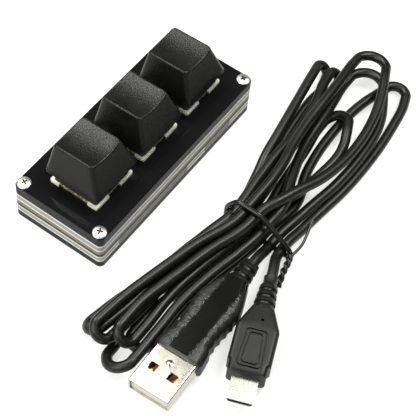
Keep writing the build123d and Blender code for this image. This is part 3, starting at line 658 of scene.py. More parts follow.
class Look(Enum):
    """Every finish that the pieces take."""

    BLACK_SHEET = SheetFinish("black_sheet", "black_acrylic")
    UPPER_CLEAR = ClearFinish("upper_clear_sheet", "clear_acrylic")
    # The lower spacer carries painted shade before its two cavities
    LOWER_CLEAR = ClearFinish("lower_clear_sheet", "clear_acrylic", 2.3, 2.6,
                              ((-27.0, 3.7), (12.0, 24.0)))
    BOARD = LaminateFinish("board_laminate", "board_edge")
    # Brown painted shade in the screws' cross recesses
    SCREW = MetalFinish("screw_nickel", "nickel", (0.74, 0.73, 0.70), 0.3, shade_painted=True)
    STEEL = MetalFinish("nut_steel", "nickel", (0.6, 0.58, 0.54), 0.24)
    PLUG = MetalFinish("plug_nickel_plate", "plug_nickel", (0.56, 0.53, 0.47), 0.15, 0.2,
                       (1.0, 0.2, 1.0))
    BRUSHED = MetalFinish("brushed_nickel_plate", "plug_nickel", (0.62, 0.61, 0.58), 0.23, 0.2,
                          (1.0, 0.3, 1.0))
    CAP = MouldedFinish("cap_plastic", "cap_black", (0.0045, 0.0047, 0.0043),
                        (0.006, 0.006, 0.0056), 0.37, 0.42, 0.10, 7.0, 0.24)
    HOUSING_BLACK = MouldedFinish("hood_plastic", "housing_black", roughness=0.42)
    # Switch flanges with olive painted shade between their lugs
    HOUSING_CREAM = FlangeFinish("base_plastic", "housing_cream", (0.76, 0.75, 0.65),
                                 (0.66, 0.64, 0.52), 0.42, 0.2, 0.006, 3.0)
    STEM = MouldedFinish("stem_plastic", "stem_brown", (0.14, 0.055, 0.025),
                         (0.12, 0.045, 0.02), 0.4)
    SPRING = MetalFinish("spring_wire", "spring_steel", (0.62, 0.6, 0.56), 0.25)
    GOLD = MetalFinish("contact_plate", "contact_gold", (0.80, 0.58, 0.26), 0.22)
    INSULATOR = InsulatorFinish("plug_insulator", "insulator_black", (0.42, 0.20, 0.05),
                                (0.12, 0.05, 0.015), 0.45, tip=-57.4)
    CHIP = MouldedFinish("chip_resin", "insulator_black", (0.02, 0.02, 0.021),
                         (0.026, 0.026, 0.027), 0.5, 0.1)
    CERAMIC = MouldedFinish("ceramic_body", "capacitor_tan", (0.42, 0.27, 0.15),
                            (0.36, 0.23, 0.12), 0.5)
    GRIP = MouldedFinish("grip_rubber", "cable_black", (0.004, 0.004, 0.0038),
                         (0.006, 0.006, 0.0056), 0.42, 0.3, 0.05, 5.0, 0.3)
    PADDED_GRIP = PaddedFinish("padded_grip", "cable_black", (0.004, 0.004, 0.0038),
                               (0.012, 0.012, 0.011), 0.10, 0.3, 0.05, 5.0, 0.45,
                               middle=-47.4)
    CABLE = MouldedFinish("cable_jacket", "cable_black", (0.003, 0.003, 0.0028),
                          (0.0045, 0.0045, 0.0042), 0.4, 0.5, 0.01, 9.0, 0.35)
    TIE = MouldedFinish("tie_jacket", "cable_black", (0.004, 0.004, 0.004),
                        (0.006, 0.006, 0.006), 0.3, 0.4, 0.01, 4.0, 0.4)


CAD_LOOKS: dict[Look, tuple[str, ...]] = {
    Look.BLACK_SHEET: ("top_plate", "bottom_plate"),
    Look.UPPER_CLEAR: ("upper_spacer",),
    Look.BOARD: ("circuit_board",),
    Look.LOWER_CLEAR: ("lower_spacer",),
    Look.STEEL: ("case_nuts", "controller_leads"),
    Look.PLUG: ("usb_socket_shell", "usb_a_shell"),
    Look.CHIP: ("usb_socket_tongue", "controller_chip", "board_resistors", "micro_b_insulator"),
    Look.GOLD: ("usb_socket_contacts", "usb_a_contacts", "micro_b_contacts"),
    Look.CERAMIC: ("board_capacitors",),
    Look.INSULATOR: ("usb_a_insulator",),
    Look.BRUSHED: ("micro_b_shell",),
}
CAD_KEY_LOOKS: dict[Look, tuple[str, ...]] = {
    Look.HOUSING_BLACK: ("switch_top_housing",),
    Look.HOUSING_CREAM: ("switch_base_housing",),
    Look.STEM: ("switch_stem",),
    Look.GOLD: ("switch_fixed_contact", "switch_moving_contact"),
}


# Meshes and curves


def rounded_outline(
    length: float, width: float, radius: float, steps: int = 6, sides: int = 1
) -> list[Pair]:
    """The points of a rounded rectangle, anticlockwise from the middle of its right corner.

    Args:
        length: Size along X.
        width: Size along Y.
        radius: Corner radius.
        steps: Spans in each corner.
        sides: Spans in each straight side.

    Returns:
        The points.
    """
    corners = ((1, 1), (-1, 1), (-1, -1), (1, -1))

    def on_corner(index: int, turns: float) -> Pair:
        """A point on one corner's arc, that many quarter turns round.

        Args:
            index: Which corner.
            turns: Quarter turns from the X axis.

        Returns:
            The point.
        """
        x_side, y_side = corners[index % 4]
        angle = math.pi / 2 * turns
        return (
            x_side * (length / 2 - radius) + radius * math.cos(angle),
            y_side * (width / 2 - radius) + radius * math.sin(angle),
        )

    points = []
    for index in range(4):
        points += [on_corner(index, index + step / steps) for step in range(steps + 1)]
        (x, y), (end_x, end_y) = points[-1], on_corner(index + 1, index + 1)
        for step in range(1, sides):
            share = step / sides
            points.append((x + (end_x - x) * share, y + (end_y - y) * share))
    return points


def past_corner(before: Vector, corner: Vector, after: Vector, share: float) -> Vector:
    """A point at a share of the soft way that leaves out a corner."""
    return before * (1 - share) ** 2 + corner * (2 * share * (1 - share)) + after * share**2


def rounded_polygon(corners: Sequence[Pair], radius: float, steps: int = 4) -> list[Pair]:
    """The points of a polygon with soft corners.

    Args:
        corners: Its corners in order.
        radius: How far from a corner its bend starts.
        steps: Spans in each bend.

    Returns:
        The points.
    """
    points = []
    count = len(corners)
    for index in range(count):
        here = Vector(corners[index])
        before = here + (Vector(corners[index - 1]) - here).normalized() * radius
        after = here + (Vector(corners[(index + 1) % count]) - here).normalized() * radius
        points += [
            tuple(past_corner(before, here, after, step / steps)) for step in range(steps + 1)
        ]
    return points


def ease(start: float, end: float, share: float, leave: float = 0.0, arrive: float = 0.0) -> float:
    """A cubic between two values with a given slope at each end.

    Args:
        start: Value at share zero.
        end: Value at share one.
        share: Where between them.
        leave: Slope at the start, per unit of share.
        arrive: Slope at the end, per unit of share.

    Returns:
        The value.
    """
    square, cube = share**2, share**3
    return (
        start * (2 * cube - 3 * square + 1) + end * (3 * square - 2 * cube)
        + leave * (cube - 2 * square + share) + arrive * (cube - square)
    )


@dataclass
class Form:
    """A mesh in the making, in millimetres."""

    points: list[Vector] = field(default_factory=list)
    faces: list[tuple[int, ...]] = field(default_factory=list)

    def skin(self, rings: Sequence[Ring], first_cap: bool = False, last_cap: bool = False) -> None:
        """Join closed rings of equal count with quads.

        Args:
            rings: The rings in order.
            first_cap: Close the first ring with a face.
            last_cap: Close the last ring with a face.
        """
        start = len(self.points)
        count = len(rings[0])
        for ring in rings:
            self.points += ring
        for row in range(len(rings) - 1):
            low = start + row * count
            high = low + count
            for index in range(count):
                after = (index + 1) % count
                self.faces.append((low + index, low + after, high + after, high + index))
        if first_cap:
            self.faces.append(tuple(start + index for index in reversed(range(count))))
        if last_cap:
            last = start + (len(rings) - 1) * count
            self.faces.append(tuple(last + index for index in range(count)))

    def revolve(self, profile: Sequence[Pair], turn: Matrix, count: int = 40) -> None:
        """Turn a profile round the Z axis of a place.

        Args:
            profile: Pairs of radius and height.
            turn: The place of that axis.
            count: Points round it.
        """
        angles = [2 * math.pi * index / count for index in range(count)]
        round_axis = [(math.cos(angle), math.sin(angle)) for angle in angles]
        rings = [
            [turn @ Vector((radius * x, radius * y, height)) for x, y in round_axis]
            for radius, height in profile
        ]
        self.skin(rings, True, True)

    def mesh(self, name: str, place: Matrix) -> bpy.types.Mesh:
        """The finished mesh in metres.

        Args:
            name: The mesh's name.
            place: Where the form lies, in millimetres.

        Returns:
            The mesh, faces outward.
        """
        made = bpy.data.meshes.new(name)
        made.from_pydata([(place @ point) * MM for point in self.points], [], self.faces)
        finish_mesh(made)
        return made


def finish_mesh(mesh: bpy.types.Mesh) -> None:
    """Turn faces outward and keep edges crisp that bend by more than CRISP degrees.

    Args:
        mesh: The mesh.
    """
    work = bmesh.new()
    work.from_mesh(mesh)
    bmesh.ops.remove_doubles(work, verts=work.verts, dist=MERGE)
    bmesh.ops.recalc_face_normals(work, faces=work.faces)
    for face in work.faces:
        face.smooth = True
    for edge in work.edges:
        edge.smooth = len(edge.link_faces) == 2 and edge.calc_face_angle() < math.radians(CRISP)
    work.to_mesh(mesh)
    work.free()


def shown(name: str, data: bpy.types.ID) -> bpy.types.Object:
    """Link an object with that data into the scene.

    Args:
        name: The object's name.
        data: What it shows.

    Returns:
        The object.
    """
    made = bpy.data.objects.new(name, data)
    bpy.context.scene.collection.objects.link(made)
    return made


def evaluated(item: bpy.types.Object) -> bpy.types.Mesh:
    """A mesh of the object as its modifiers or its curve's round section leave it."""
    view = bpy.context.evaluated_depsgraph_get()
    return bpy.data.meshes.new_from_object(item.evaluated_get(view))


def discard(*items: bpy.types.Object) -> None:
    """Take helper objects out of the scene."""
    for item in items:
        bpy.data.objects.remove(item)


def round_curve(name: str, width: float, facets: int, steps: int = 12) -> bpy.types.Curve:
    """A curve whose splines are round tubes with closed ends.

    Args:
        name: Its name.
        width: The tubes' diameter.
        facets: Spans in a quarter of their section.
        steps: Spans between two points of a spline.

    Returns:
        The curve, still without a spline.
    """
    made = bpy.data.curves.new(name, "CURVE")
    made.dimensions = "3D"
    made.resolution_u = steps
    made.bevel_depth = width / 2 * MM
    made.bevel_resolution = facets
    made.use_fill_caps = True
    return made


def place_points(spline: bpy.types.Spline, points: Sequence[Vector], width: float = 1.0) -> None:
    """Give a new spline its points.

    Args:
        spline: The spline.
        points: Their places in millimetres.
        width: How many times its curve's diameter it is thick.
    """
    spline.points.add(len(points) - 1)
    for target, point in zip(spline.points, points):
        target.co = (*(point * MM), 1.0)
        target.radius = width


def cut(target: bpy.types.Mesh, tool: bpy.types.Mesh, name: str) -> bpy.types.Mesh:
    """The target with the tool taken out of it.

    Args:
        target: The mesh that is cut.
        tool: The closed mesh that cuts.
        name: Name of the result.

    Returns:
        The new mesh.
    """
    body, knife = shown(name, target), shown(name + "_knife", tool)
    modifier = body.modifiers.new("cut", "BOOLEAN")
    modifier.operation = "DIFFERENCE"
    modifier.solver = "EXACT"
    modifier.object = knife
    made = evaluated(body)
    discard(body, knife)
    finish_mesh(made)
    return made


@dataclass
class SubAssembly:
    """A group of pieces that ride on one body of the frame."""

    body: str = BODY

    def add(
        self, name: str, data: bpy.types.ID, look: Look, nodes: Sequence[str]
    ) -> bpy.types.Object:
        """Show a piece in place of CAD nodes.

        Args:
            name: The piece's name.
            data: Its mesh or curve.
            look: Its finish.
            nodes: The CAD nodes that it stands for.

        Returns:
            The object.
        """
        made = shown(name, data)
        finish = look.value
        data.materials.clear()
        data.materials.append(finish.material())
        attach(made, self.body)
        if nodes:
            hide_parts(*nodes)
        return made


# The keypad


@dataclass
class Keycap(SubAssembly):
    """One key's cap: drafted sides, a dished top, a hollow inside and its post."""

    number: int = 1
    middle: float = 0.0
    base: float = 17.6
    base_radius: float = 1.5
    rim: float = PLATE_TOP + 5.0
    top_length: float = 11.9
    top_width: float = 12.8
    top_radius: float = 1.3
    offset: float = 1.35
    front: float = PLATE_TOP + 14.4
    back: float = PLATE_TOP + 14.0
    dish: float = 0.85
    edge: float = 0.55
    wall: float = 1.3
    top_wall: float = 0.9
    inner_offset: float = 0.7
    roof: float = 2.2
    post: float = 5.5
    post_rise: float = 1.6
    post_bore: float = 1.6
    post_depth: float = 3.0
    post_edge: float = 0.15
    rim_edge: float = 0.25
    corner_steps: int = 6
    side_steps: int = 10
    edge_steps: int = 5
    rim_shares: tuple[float, ...] = (1.0, 0.55, 0.2, 0.0)
    side_shares: tuple[float, ...] = (0.3, 0.6, 0.85)
    top_shares: tuple[float, ...] = (0.86, 0.7, 0.54, 0.38, 0.22, 0.08)

    def outline(self, length: float, width: float, radius: float) -> list[Pair]:
        """A rounded outline with as many points as the cap's other ones."""
        return rounded_outline(length, width, radius, self.corner_steps, self.side_steps)

    def plane(self, y: float) -> float:
        """Height of the flat top before the dish, at y."""
        slope = (self.back - self.front) / self.top_width
        return (self.front + self.back) / 2 + (y - self.offset) * slope

    def on_top(self, x: float, y: float) -> Vector:
        """The point of the dished top over a place.

        Args:
            x: Distance from the key's middle.
            y: Place across the case.

        Returns:
            The point.
        """
        half = self.top_length / 2
        radius = (half**2 + self.dish**2) / (2 * self.dish)
        inside = min(abs(x), half)
        sunk = math.sqrt(radius**2 - inside**2) - (radius - self.dish)
        return Vector((x, y, self.plane(y) - sunk))

    def rings(self) -> list[Ring]:
        """The outside from the rim up over the edge to the middle of the top.

        Returns:
            The rings in that order.
        """
        low = self.outline(self.base, self.base, self.base_radius)
        high = self.outline(self.top_length, self.top_width, self.top_radius)
        foot = [Vector((x, y, self.rim)) for x, y in low]
        edge, tops = [], []
        for start, (x, y) in zip(foot, high):
            full = Vector((x, y + self.offset, self.plane(y + self.offset)))
            reach = (self.on_top(full.x, full.y).z - self.rim) / (full.z - self.rim)
            edge.append(start.lerp(full, reach))
            flat = Vector((edge[-1].x, edge[-1].y - self.offset, 0))
            inner = flat - flat.normalized() * self.edge
            tops.append(self.on_top(inner.x, inner.y + self.offset))
        rings = []
        for share in self.rim_shares:
            angle = share * math.pi / 2
            factor = 1 - 2 * self.rim_edge * (1 - math.cos(angle)) / self.base
            height = self.rim + self.rim_edge * (1 - math.sin(angle))
            rings.append([Vector((point.x * factor, point.y * factor, height)) for point in foot])
        for share in self.side_shares:
            rings.append([start.lerp(point, share) for start, point in zip(foot, edge)])
        below = [
            point + (start - point).normalized() * self.edge for start, point in zip(foot, edge)
        ]
        for step in range(self.edge_steps + 1):
            share = step / self.edge_steps
            rings.append([past_corner(*trio, share) for trio in zip(below, edge, tops)])
        for share in self.top_shares:
            rings.append([
                self.on_top(point.x * share, self.offset + (point.y - self.offset) * share)
                for point in tops
            ])
        return rings

    def build(self) -> None:
        """Build and dress the cap."""
        form = Form()
        inner_base = self.base - 2 * self.wall
        low = self.outline(inner_base, inner_base, self.base_radius / 2)
        high = self.outline(
            self.top_length - self.top_wall, self.top_width - self.wall, self.top_radius / 2
        )
        roof = self.back - self.roof
        inside = [
            [Vector((x, y + self.inner_offset, roof)) for x, y in high],
            [Vector((x, y, self.rim)) for x, y in low],
        ]
        form.skin(inside + self.rings(), True, True)
        radius, foot = self.post / 2, self.rim + self.post_rise
        form.revolve(
            [
                (self.post_bore, foot + self.post_depth), (self.post_bore, foot),
                (radius - self.post_edge, foot), (radius, foot + self.post_edge),
                (radius, self.back - self.roof / 2),
            ],
            Matrix(),
        )
        name = f"keycap_{self.number}"
        mesh = form.mesh(name, Matrix.Translation((self.middle, 0, 0)))
        self.add(f"cap_{self.number}", mesh, Look.CAP, [name])


@dataclass
class SwitchSpring(SubAssembly):
    """One switch's coil spring, which on the real switch shortens as its key goes down; here it
    keeps its built length.
    """

    number: int = 1
    wire: float = 0.35
    turns: int = 8
    steps: int = 20
    facets: int = 3
    travel: float = 4.0

    def build(self) -> bpy.types.Object:
        """Wind the coil in its node's place.

        Returns:
            The spring.
        """
        node = f"switch_spring_{self.number}"
        low, high = (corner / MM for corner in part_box(node))
        middle = (low + high) / 2
        radius = (high.x - low.x - self.wire) / 2
        floor, roof = low.z + self.wire / 2, high.z - self.wire / 2
        count = self.turns * self.steps
        points = []
        for index in range(count + 1):
            angle = 2 * math.pi * index / self.steps
            points.append(Vector((
                middle.x + radius * math.cos(angle),
                middle.y + radius * math.sin(angle),
                floor + (roof - floor) * index / count,
            )))
        line = round_curve("spring_line", self.wire, self.facets)
        place_points(line.splines.new("POLY"), points)
        source = shown("spring_line", line)
        mesh = evaluated(source)
        discard(source)
        finish_mesh(mesh)
        made = self.add(f"coil_spring_{self.number}", mesh, Look.SPRING, [node])
        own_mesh(made)
        return made


@dataclass
class CaseScrews(SubAssembly):
    """The four case screws, made once and repeated by a node group."""

    spacing_length: float = 65.0
    spacing_width: float = 25.0
    head: float = 4.0
    height: float = 0.8
    side: float = 0.22
    shank: float = 2.0
    length: float = 12.5
    pitch: float = 0.4
    recess_span: float = 2.0
    recess_width: float = 0.5
    recess_depth: float = 0.5
    recess_foot: float = 0.6
    recess_mouth: float = 1.2
    knife_rise: float = 0.4
    # Depth below the head's top from which recess faces take painted shade
    shade_depth: float = 0.12
    tip: float = 0.01
    plain: float = 0.2
    thread: float = 0.14
    thread_end: float = 0.3
    neck: float = 0.1
    rim: float = 0.12
    dome_steps: int = 13
    dome_power: float = 2.2
    facets: int = 48
    seed: int = 11

    def profile(self) -> list[Pair]:
        """Pairs of radius and height from the tip over the thread to the dome.

        Returns:
            The profile.
        """
        radius, core = self.head / 2, self.shank / 2
        found = [(self.tip, -self.length)]
        rise = -self.length + self.plain
        while rise < -self.thread_end:
            found += [(core - self.thread, rise), (core, rise + self.pitch / 2)]
            rise += self.pitch
        found += [
            (core - self.neck, 0.0), (radius - self.rim, 0.0), (radius, self.rim),
            (radius, self.side),
        ]
        for step in range(1, self.dome_steps):
            share = step / self.dome_steps
            across = radius * math.sqrt(1 - share**self.dome_power)
            found.append((across, self.side + (self.height - self.side) * share))
        return found + [(self.tip, self.height)]

    def template(self) -> bpy.types.Mesh:
        """One screw with its head's underside at the origin and its recess faces marked for painted
        shade.

        Returns:
            The screw's mesh.
        """
        form, knife = Form(), Form()
        form.revolve(self.profile(), Matrix(), self.facets)
        rows = (
            (self.recess_foot, -self.recess_depth), (1.0, 0.0), (self.recess_mouth, self.knife_rise)
        )
        knife.skin([self.cross(scale, self.height + rise) for scale, rise in rows], True, True)
        made = cut(form.mesh("screw", Matrix()), knife.mesh("recess", Matrix()), "screw_cut")
        # Mark the recess faces that take brown painted shade
        painted_shade = made.attributes.new("recess", "FLOAT", "FACE")
        for face in made.polygons:
            away = math.hypot(face.center.x, face.center.y) / MM
            low = face.center.z / MM < self.height - self.shade_depth and face.center.z > 0
            painted_shade.data[face.index].value = 1.0 if low and away < self.recess_span / 2 else 0.0
        return made

    def cross(self, scale: float, height: float) -> Ring:
        """A level cross outline.

        Args:
            scale: Its size as a share of the recess at the top.
            height: Its height.

        Returns:
            Its points.
        """
        arm, half = self.recess_span / 2 * scale, self.recess_width / 2 * scale
        quarter = [Vector(point) for point in ((arm, -half), (arm, half), (half, half))]
        turns = [Matrix.Rotation(math.pi / 2 * turn, 2) for turn in range(4)]
        return [Vector((*(turn @ point), height)) for turn in turns for point in quarter]

    def build(self) -> None:
        """Build the screws and dress them."""
        template = shown("screw_template", self.template())
        places = bpy.data.meshes.new("case_screws")
        half_x, half_y = self.spacing_length / 2 * MM, self.spacing_width / 2 * MM
        corners = [(x * half_x, y * half_y, PLATE_TOP * MM) for x in (-1, 1) for y in (-1, 1)]
        places.from_pydata(corners, [], [])
        base = shown("screw_places", places)
        mesh = Repeat("screws_at_places", template, Look.SCREW, self.seed).run(base)
        finish_mesh(mesh)
        discard(base, template)
        self.add("screws", mesh, Look.SCREW, ["case_screws"])


@dataclass
class Repeat:
    """A node group that puts a turned copy of one object on every point of a mesh."""

    name: str
    template: bpy.types.Object
    look: Look
    seed: int

    def tree(self) -> bpy.types.NodeTree:
        """The node group with its named inputs.

        Returns:
            The group.
        """
        tree = bpy.data.node_groups.new(self.name, "GeometryNodeTree")
        for name, way, kind in (
            ("Places", "INPUT", "Geometry"), ("Piece", "INPUT", "Object"),
            ("Seed", "INPUT", "Int"), ("Pieces", "OUTPUT", "Geometry"),
        ):
            tree.interface.new_socket(name, in_out=way, socket_type=f"NodeSocket{kind}")
        start, end, piece, spread, turn, points, copies, real, dress = map(tree.nodes.new, (
            "NodeGroupInput", "NodeGroupOutput", "GeometryNodeObjectInfo",
            "FunctionNodeRandomValue", "ShaderNodeCombineXYZ", "GeometryNodeMeshToPoints",
            "GeometryNodeInstanceOnPoints", "GeometryNodeRealizeInstances",
            "GeometryNodeSetMaterial",
        ))
        spread.data_type = "FLOAT"
        spread.inputs["Max"].default_value = math.pi
        dress.inputs["Material"].default_value = self.look.value.material()
        for source, output, target, socket in (
            (start, "Piece", piece, "Object"), (start, "Places", points, "Mesh"),
            (start, "Seed", spread, "Seed"), (spread, 1, turn, "Z"),
            (points, "Points", copies, "Points"), (piece, "Geometry", copies, "Instance"),
            (turn, 0, copies, "Rotation"), (copies, "Instances", real, "Geometry"),
            (real, "Geometry", dress, "Geometry"), (dress, "Geometry", end, "Pieces"),
        ):
            tree.links.new(source.outputs[output], target.inputs[socket])
        return tree

    def run(self, base: bpy.types.Object) -> bpy.types.Mesh:
        """Evaluate the group on a base object.

        Args:
            base: The object whose vertices are the places.

        Returns:
            One mesh of all the copies.
        """
        tree = self.tree()
        modifier = base.modifiers.new(self.name, "NODES")
        modifier.node_group = tree
        known = {item.name: item.identifier for item in tree.interface.items_tree}
        modifier[known["Piece"]] = self.template
        modifier[known["Seed"]] = self.seed
        made = evaluated(base)
        base.modifiers.remove(modifier)
        return made


# The cable


@dataclass(frozen=True)
class Place:
    """Where a plug lies: its root point and how it is turned, tipped and rolled."""

    root: Point
    yaw: float
    pitch: float
    roll: float

    def matrix(self) -> Matrix:
        """The place as a matrix, in millimetres, with +X towards the tip.

        Returns:
            The matrix.
        """
        turned = Matrix.Translation(self.root)
        for angle, axis in ((self.yaw, "Z"), (self.pitch, "Y"), (self.roll, "X")):
            turned = turned @ Matrix.Rotation(math.radians(angle), 4, axis)
        return turned


@dataclass(frozen=True)
class Turn:
    """One half turn of the bundle, with a straight run in and out."""

    side: int
    x: float
    y: float
    z: float
    radius: float
    fan: float
    tilt: float
    dip: float
    far_first: bool
    spread: float = 0.0
    run: float = 3.2

    def nodes(self) -> list[Waypoint]:
        """Its five points and headings.

        Returns:
            The points in the cable's order.
        """
        fan, tilt, dip = (math.radians(angle) for angle in (self.fan, self.tilt, self.dip))
        level = Vector((self.side * math.cos(fan), math.sin(fan), 0))
        across = Vector((-level.y, level.x, 0)) * self.side * (1 if self.far_first else -1)
        out = level * math.cos(dip) - Vector((0, 0, math.sin(dip)))
        lean = across * math.cos(tilt) + Vector((0, 0, math.sin(tilt)))
        middle = Vector((self.x, self.y, self.z))
        spread = math.radians(self.spread)
        legs = []
        for away in (lean, -lean):
            place = middle + (away * math.cos(spread) + out * math.sin(spread)) * self.radius
            legs.append((place, out * math.cos(spread) - away * math.sin(spread)))
        (first, going), (last, coming) = legs
        return [
            (first - going * self.run, going),
            (first, going),
            (middle + out * self.radius, -lean),
            (last, -coming),
            (last - coming * self.run, -coming),
        ]


@dataclass(frozen=True)
class Lap:
    """A strand's way from the tie out to a half turn and back."""

    slot: tuple[int, int]
    out: tuple[Point, ...]
    turn: Turn
    back: tuple[Point, ...]


LAPS = (
    Lap((0, 5), ((10, -50.6, 1.6), (30, -52.6, 1.48), (50, -52, 1.48)),
        Turn(1, 64.2, -46, 1.48, 3.3, 2, 0, 0, False, 17, 1),
        ((54, -40, 1.48), (38, -39.2, 1.48), (24, -41, 1.48), (14, -44.4, 1.48))),
    Lap((0, 3), ((-12, -42, 2), (-22, -39.7, 1.4), (-31, -38.7, 1.35)),
        Turn(-1, -45.3, -36, 1.35, 2.75, 0, 0, 0, False),
        ((-22, -36.3, 1.5), (-12, -38.6, 2))),
    Lap((0, 2), ((8, -39.1, 1.9), (16, -37.8, 1.48), (30, -36.4, 1.48)),
        Turn(1, 41.6, -38.8, 3.7, 4.3, 12, -30, 0, True, 14, 1),
        ((34, -45.6, 5.4), (22, -45, 4.8), (13, -42.8, 4.2), (8, -41.2, 4.2))),
    Lap((1, 2), ((-12, -38.6, 5.6), (-21, -36.7, 5), (-31, -35.4, 4.7)),
        Turn(-1, -48.1, -33.6, 6.3, 2.7, 0, -40, 0, False),
        ((-22, -35.3, 8.3),)),
    Lap((2, 2),
        ((10, -43.6, 9.4), (22, -47.4, 8), (34, -48.7, 7.1), (46, -47.7, 7), (56, -45, 7.1)),
        Turn(1, 64.4, -36.4, 7, 4.6, 12, 0, 6, False, 12, 1.5),
        ((52, -32.6, 7.9), (30, -34, 8.3), (14, -36.7, 9))),
    Lap((2, 1), ((-22, -31.5, 8.3),),
        Turn(-1, -50.6, -28.4, 6.2, 2.75, 6, 35, 0, True),
        ((-22, -33.1, 5.1), (-12, -35.2, 5.6))),
    Lap((1, 1), ((14, -35.9, 5.2), (21, -34, 3.9), (30, -32.9, 2.1), (44, -31.8, 1.48)),
        Turn(1, 57, -29.2, 2.9, 2.1, 12, -40, 0, False, 6),
        ((44, -30.6, 5.1), (32, -32.2, 5.3), (21, -32.2, 5.9), (14, -32.6, 5.9))),
    Lap((1, 0), ((-12, -31.9, 5.5), (-22, -29.9, 5)),
        Turn(-1, -49.1, -25, 3, 2.75, 10, 35, 0, False),
        ((-22, -29.4, 1.6), (-12, -31.9, 2.2))),
    Lap((0, 0), ((14, -30.8, 2.5), (21, -29.2, 3.8), (30, -27.8, 4.5), (44, -25.4, 4.7)),
        Turn(1, 57, -24.8, 2.9, 2.1, 14, 40, 0, True, 6),
        ((44, -27.8, 1.48), (28, -29.8, 1.48), (14, -34.1, 1.6))),
    Lap((0, 1), ((-12, -35.2, 2), (-22, -33, 1.5), (-42, -29.6, 1.48), (-47, -30.2, 1.48)),
        Turn(-1, -52.8, -35.4, 3, 3.9, 0, -24, 0, True, 0, 1),
        ((-43, -38.8, 4.5), (-31, -38.7, 4.7), (-21, -40, 5), (-12, -42, 5.6))),
    Lap((1, 3), ((8, -43.4, 6.6), (16, -40.4, 6.2), (28, -36.8, 5), (44, -34.8, 4.9)),
        Turn(1, 59.6, -38.1, 4, 5.2, 16, -4, 0, True, 16, 1),
        ((50, -48.8, 3.9), (40, -50.4, 3.9), (26, -50.4, 3.9), (12, -48.2, 3.1))),
)


@dataclass
class Cable(SubAssembly):
    """The whole free cable, one line from the small plug through the bundle to the large one."""

    small_end: Vector = field(default_factory=Vector)
    small_heading: Vector = field(default_factory=Vector)
    large_end: Vector = field(default_factory=Vector)
    large_heading: Vector = field(default_factory=Vector)
    diameter: float = 2.95
    tie_x: float = -1.5
    tie_middle: float = -41.7
    slot_middle: float = 2.5
    slot_pitch: float = 3.2
    first_layer: float = 2.6
    end_slot: tuple[int, int] = (0, 4)
    straight: float = 3.2
    tucked: float = 1.5
    facets: int = 5
    steps: int = 6

    def slot_point(self, layer: int, column: int) -> Vector:
        """The place of one strand at the tie."""
        y = self.tie_middle + (self.slot_middle - column) * self.slot_pitch
        return Vector((self.tie_x, y, self.first_layer + layer * self.slot_pitch))

    def nodes(self) -> list[Waypoint]:
        """Every point of the bundle's route with its heading.

        Returns:
            The points from the small plug's side to the large one's.
        """
        side = LAPS[0].turn.side
        found = [(self.slot_point(*LAPS[0].slot), Vector((side, 0, 0)))]
        for index, lap in enumerate(LAPS):
            last = index + 1 == len(LAPS)
            finish = self.end_slot if last else LAPS[index + 1].slot
            bend = lap.turn.nodes()
            out = [self.slot_point(*lap.slot), *map(Vector, lap.out), bend[0][0]]
            back = [bend[-1][0], *map(Vector, lap.back), self.slot_point(*finish)]
            found += leg_nodes(out) + bend + leg_nodes(back)
            found.append((back[-1], Vector((-lap.turn.side, 0, 0))))
        return found

    def controls(self) -> list[Vector]:
        """The spline's control points from plug to plug.

        Returns:
            The points in millimetres.
        """
        route = self.nodes()
        points = [
            self.small_end - self.small_heading * self.tucked,
            self.small_end + self.small_heading * self.straight,
            route[0][0] - route[0][1] * self.straight,
        ]
        for (start, heading), (end, arrival) in zip(route[:-1], route[1:]):
            reach = arc_reach(start, heading, end, arrival)
            points += [start + heading * reach, end - arrival * reach]
        points += [
            route[-1][0] + route[-1][1] * self.straight,
            self.large_end + self.large_heading * self.straight,
            self.large_end - self.large_heading * self.tucked,
        ]
        return points

    def build(self, pieces: Sequence[bpy.types.Object]) -> bpy.types.Object:
        """Args:
            pieces: The separate pieces on it; not used.

        Returns:
            The cable's curve object.
        """
        curve = round_curve("cable", self.diameter, self.facets, self.steps)
        spline = curve.splines.new("NURBS")
        points = self.controls()
        place_points(spline, points)
        spline.order_u = 3
        spline.use_endpoint_u = True
        made = self.add(
            "data_cable", curve, Look.CABLE, ["micro_b_lead", "cable_hank", "usb_a_lead"]
        )
        log.info("cable through %d control points", len(points))
        return made


def leg_nodes(points: Sequence[Vector]) -> list[Waypoint]:
    """The inner points of one leg, each heading midway between its two runs.

    Args:
        points: The leg's points with its two ends.

    Returns:
        The points between the ends.
    """
    found = []
    for before, here, after in zip(points[:-2], points[1:-1], points[2:]):
        heading = (here - before).normalized() + (after - here).normalized()
        found.append((here, heading.normalized()))
    return found


def arc_reach(start: Vector, heading: Vector, end: Vector, arrival: Vector) -> float:
    """How far along both headings two arcs that join smoothly have their corners.

    Args:
        start: First point.
        heading: Direction there.
        end: Last point.
        arrival: Direction there.

    Returns:
        The distance.
    """
    chord = end - start
    along = chord.dot(heading + arrival)
    turned = 2 * (1 - heading.dot(arrival))
    if turned < STRAIGHT:
        return chord.dot(chord) / (2 * along)
    return (math.sqrt(along**2 + turned * chord.dot(chord)) - along) / turned


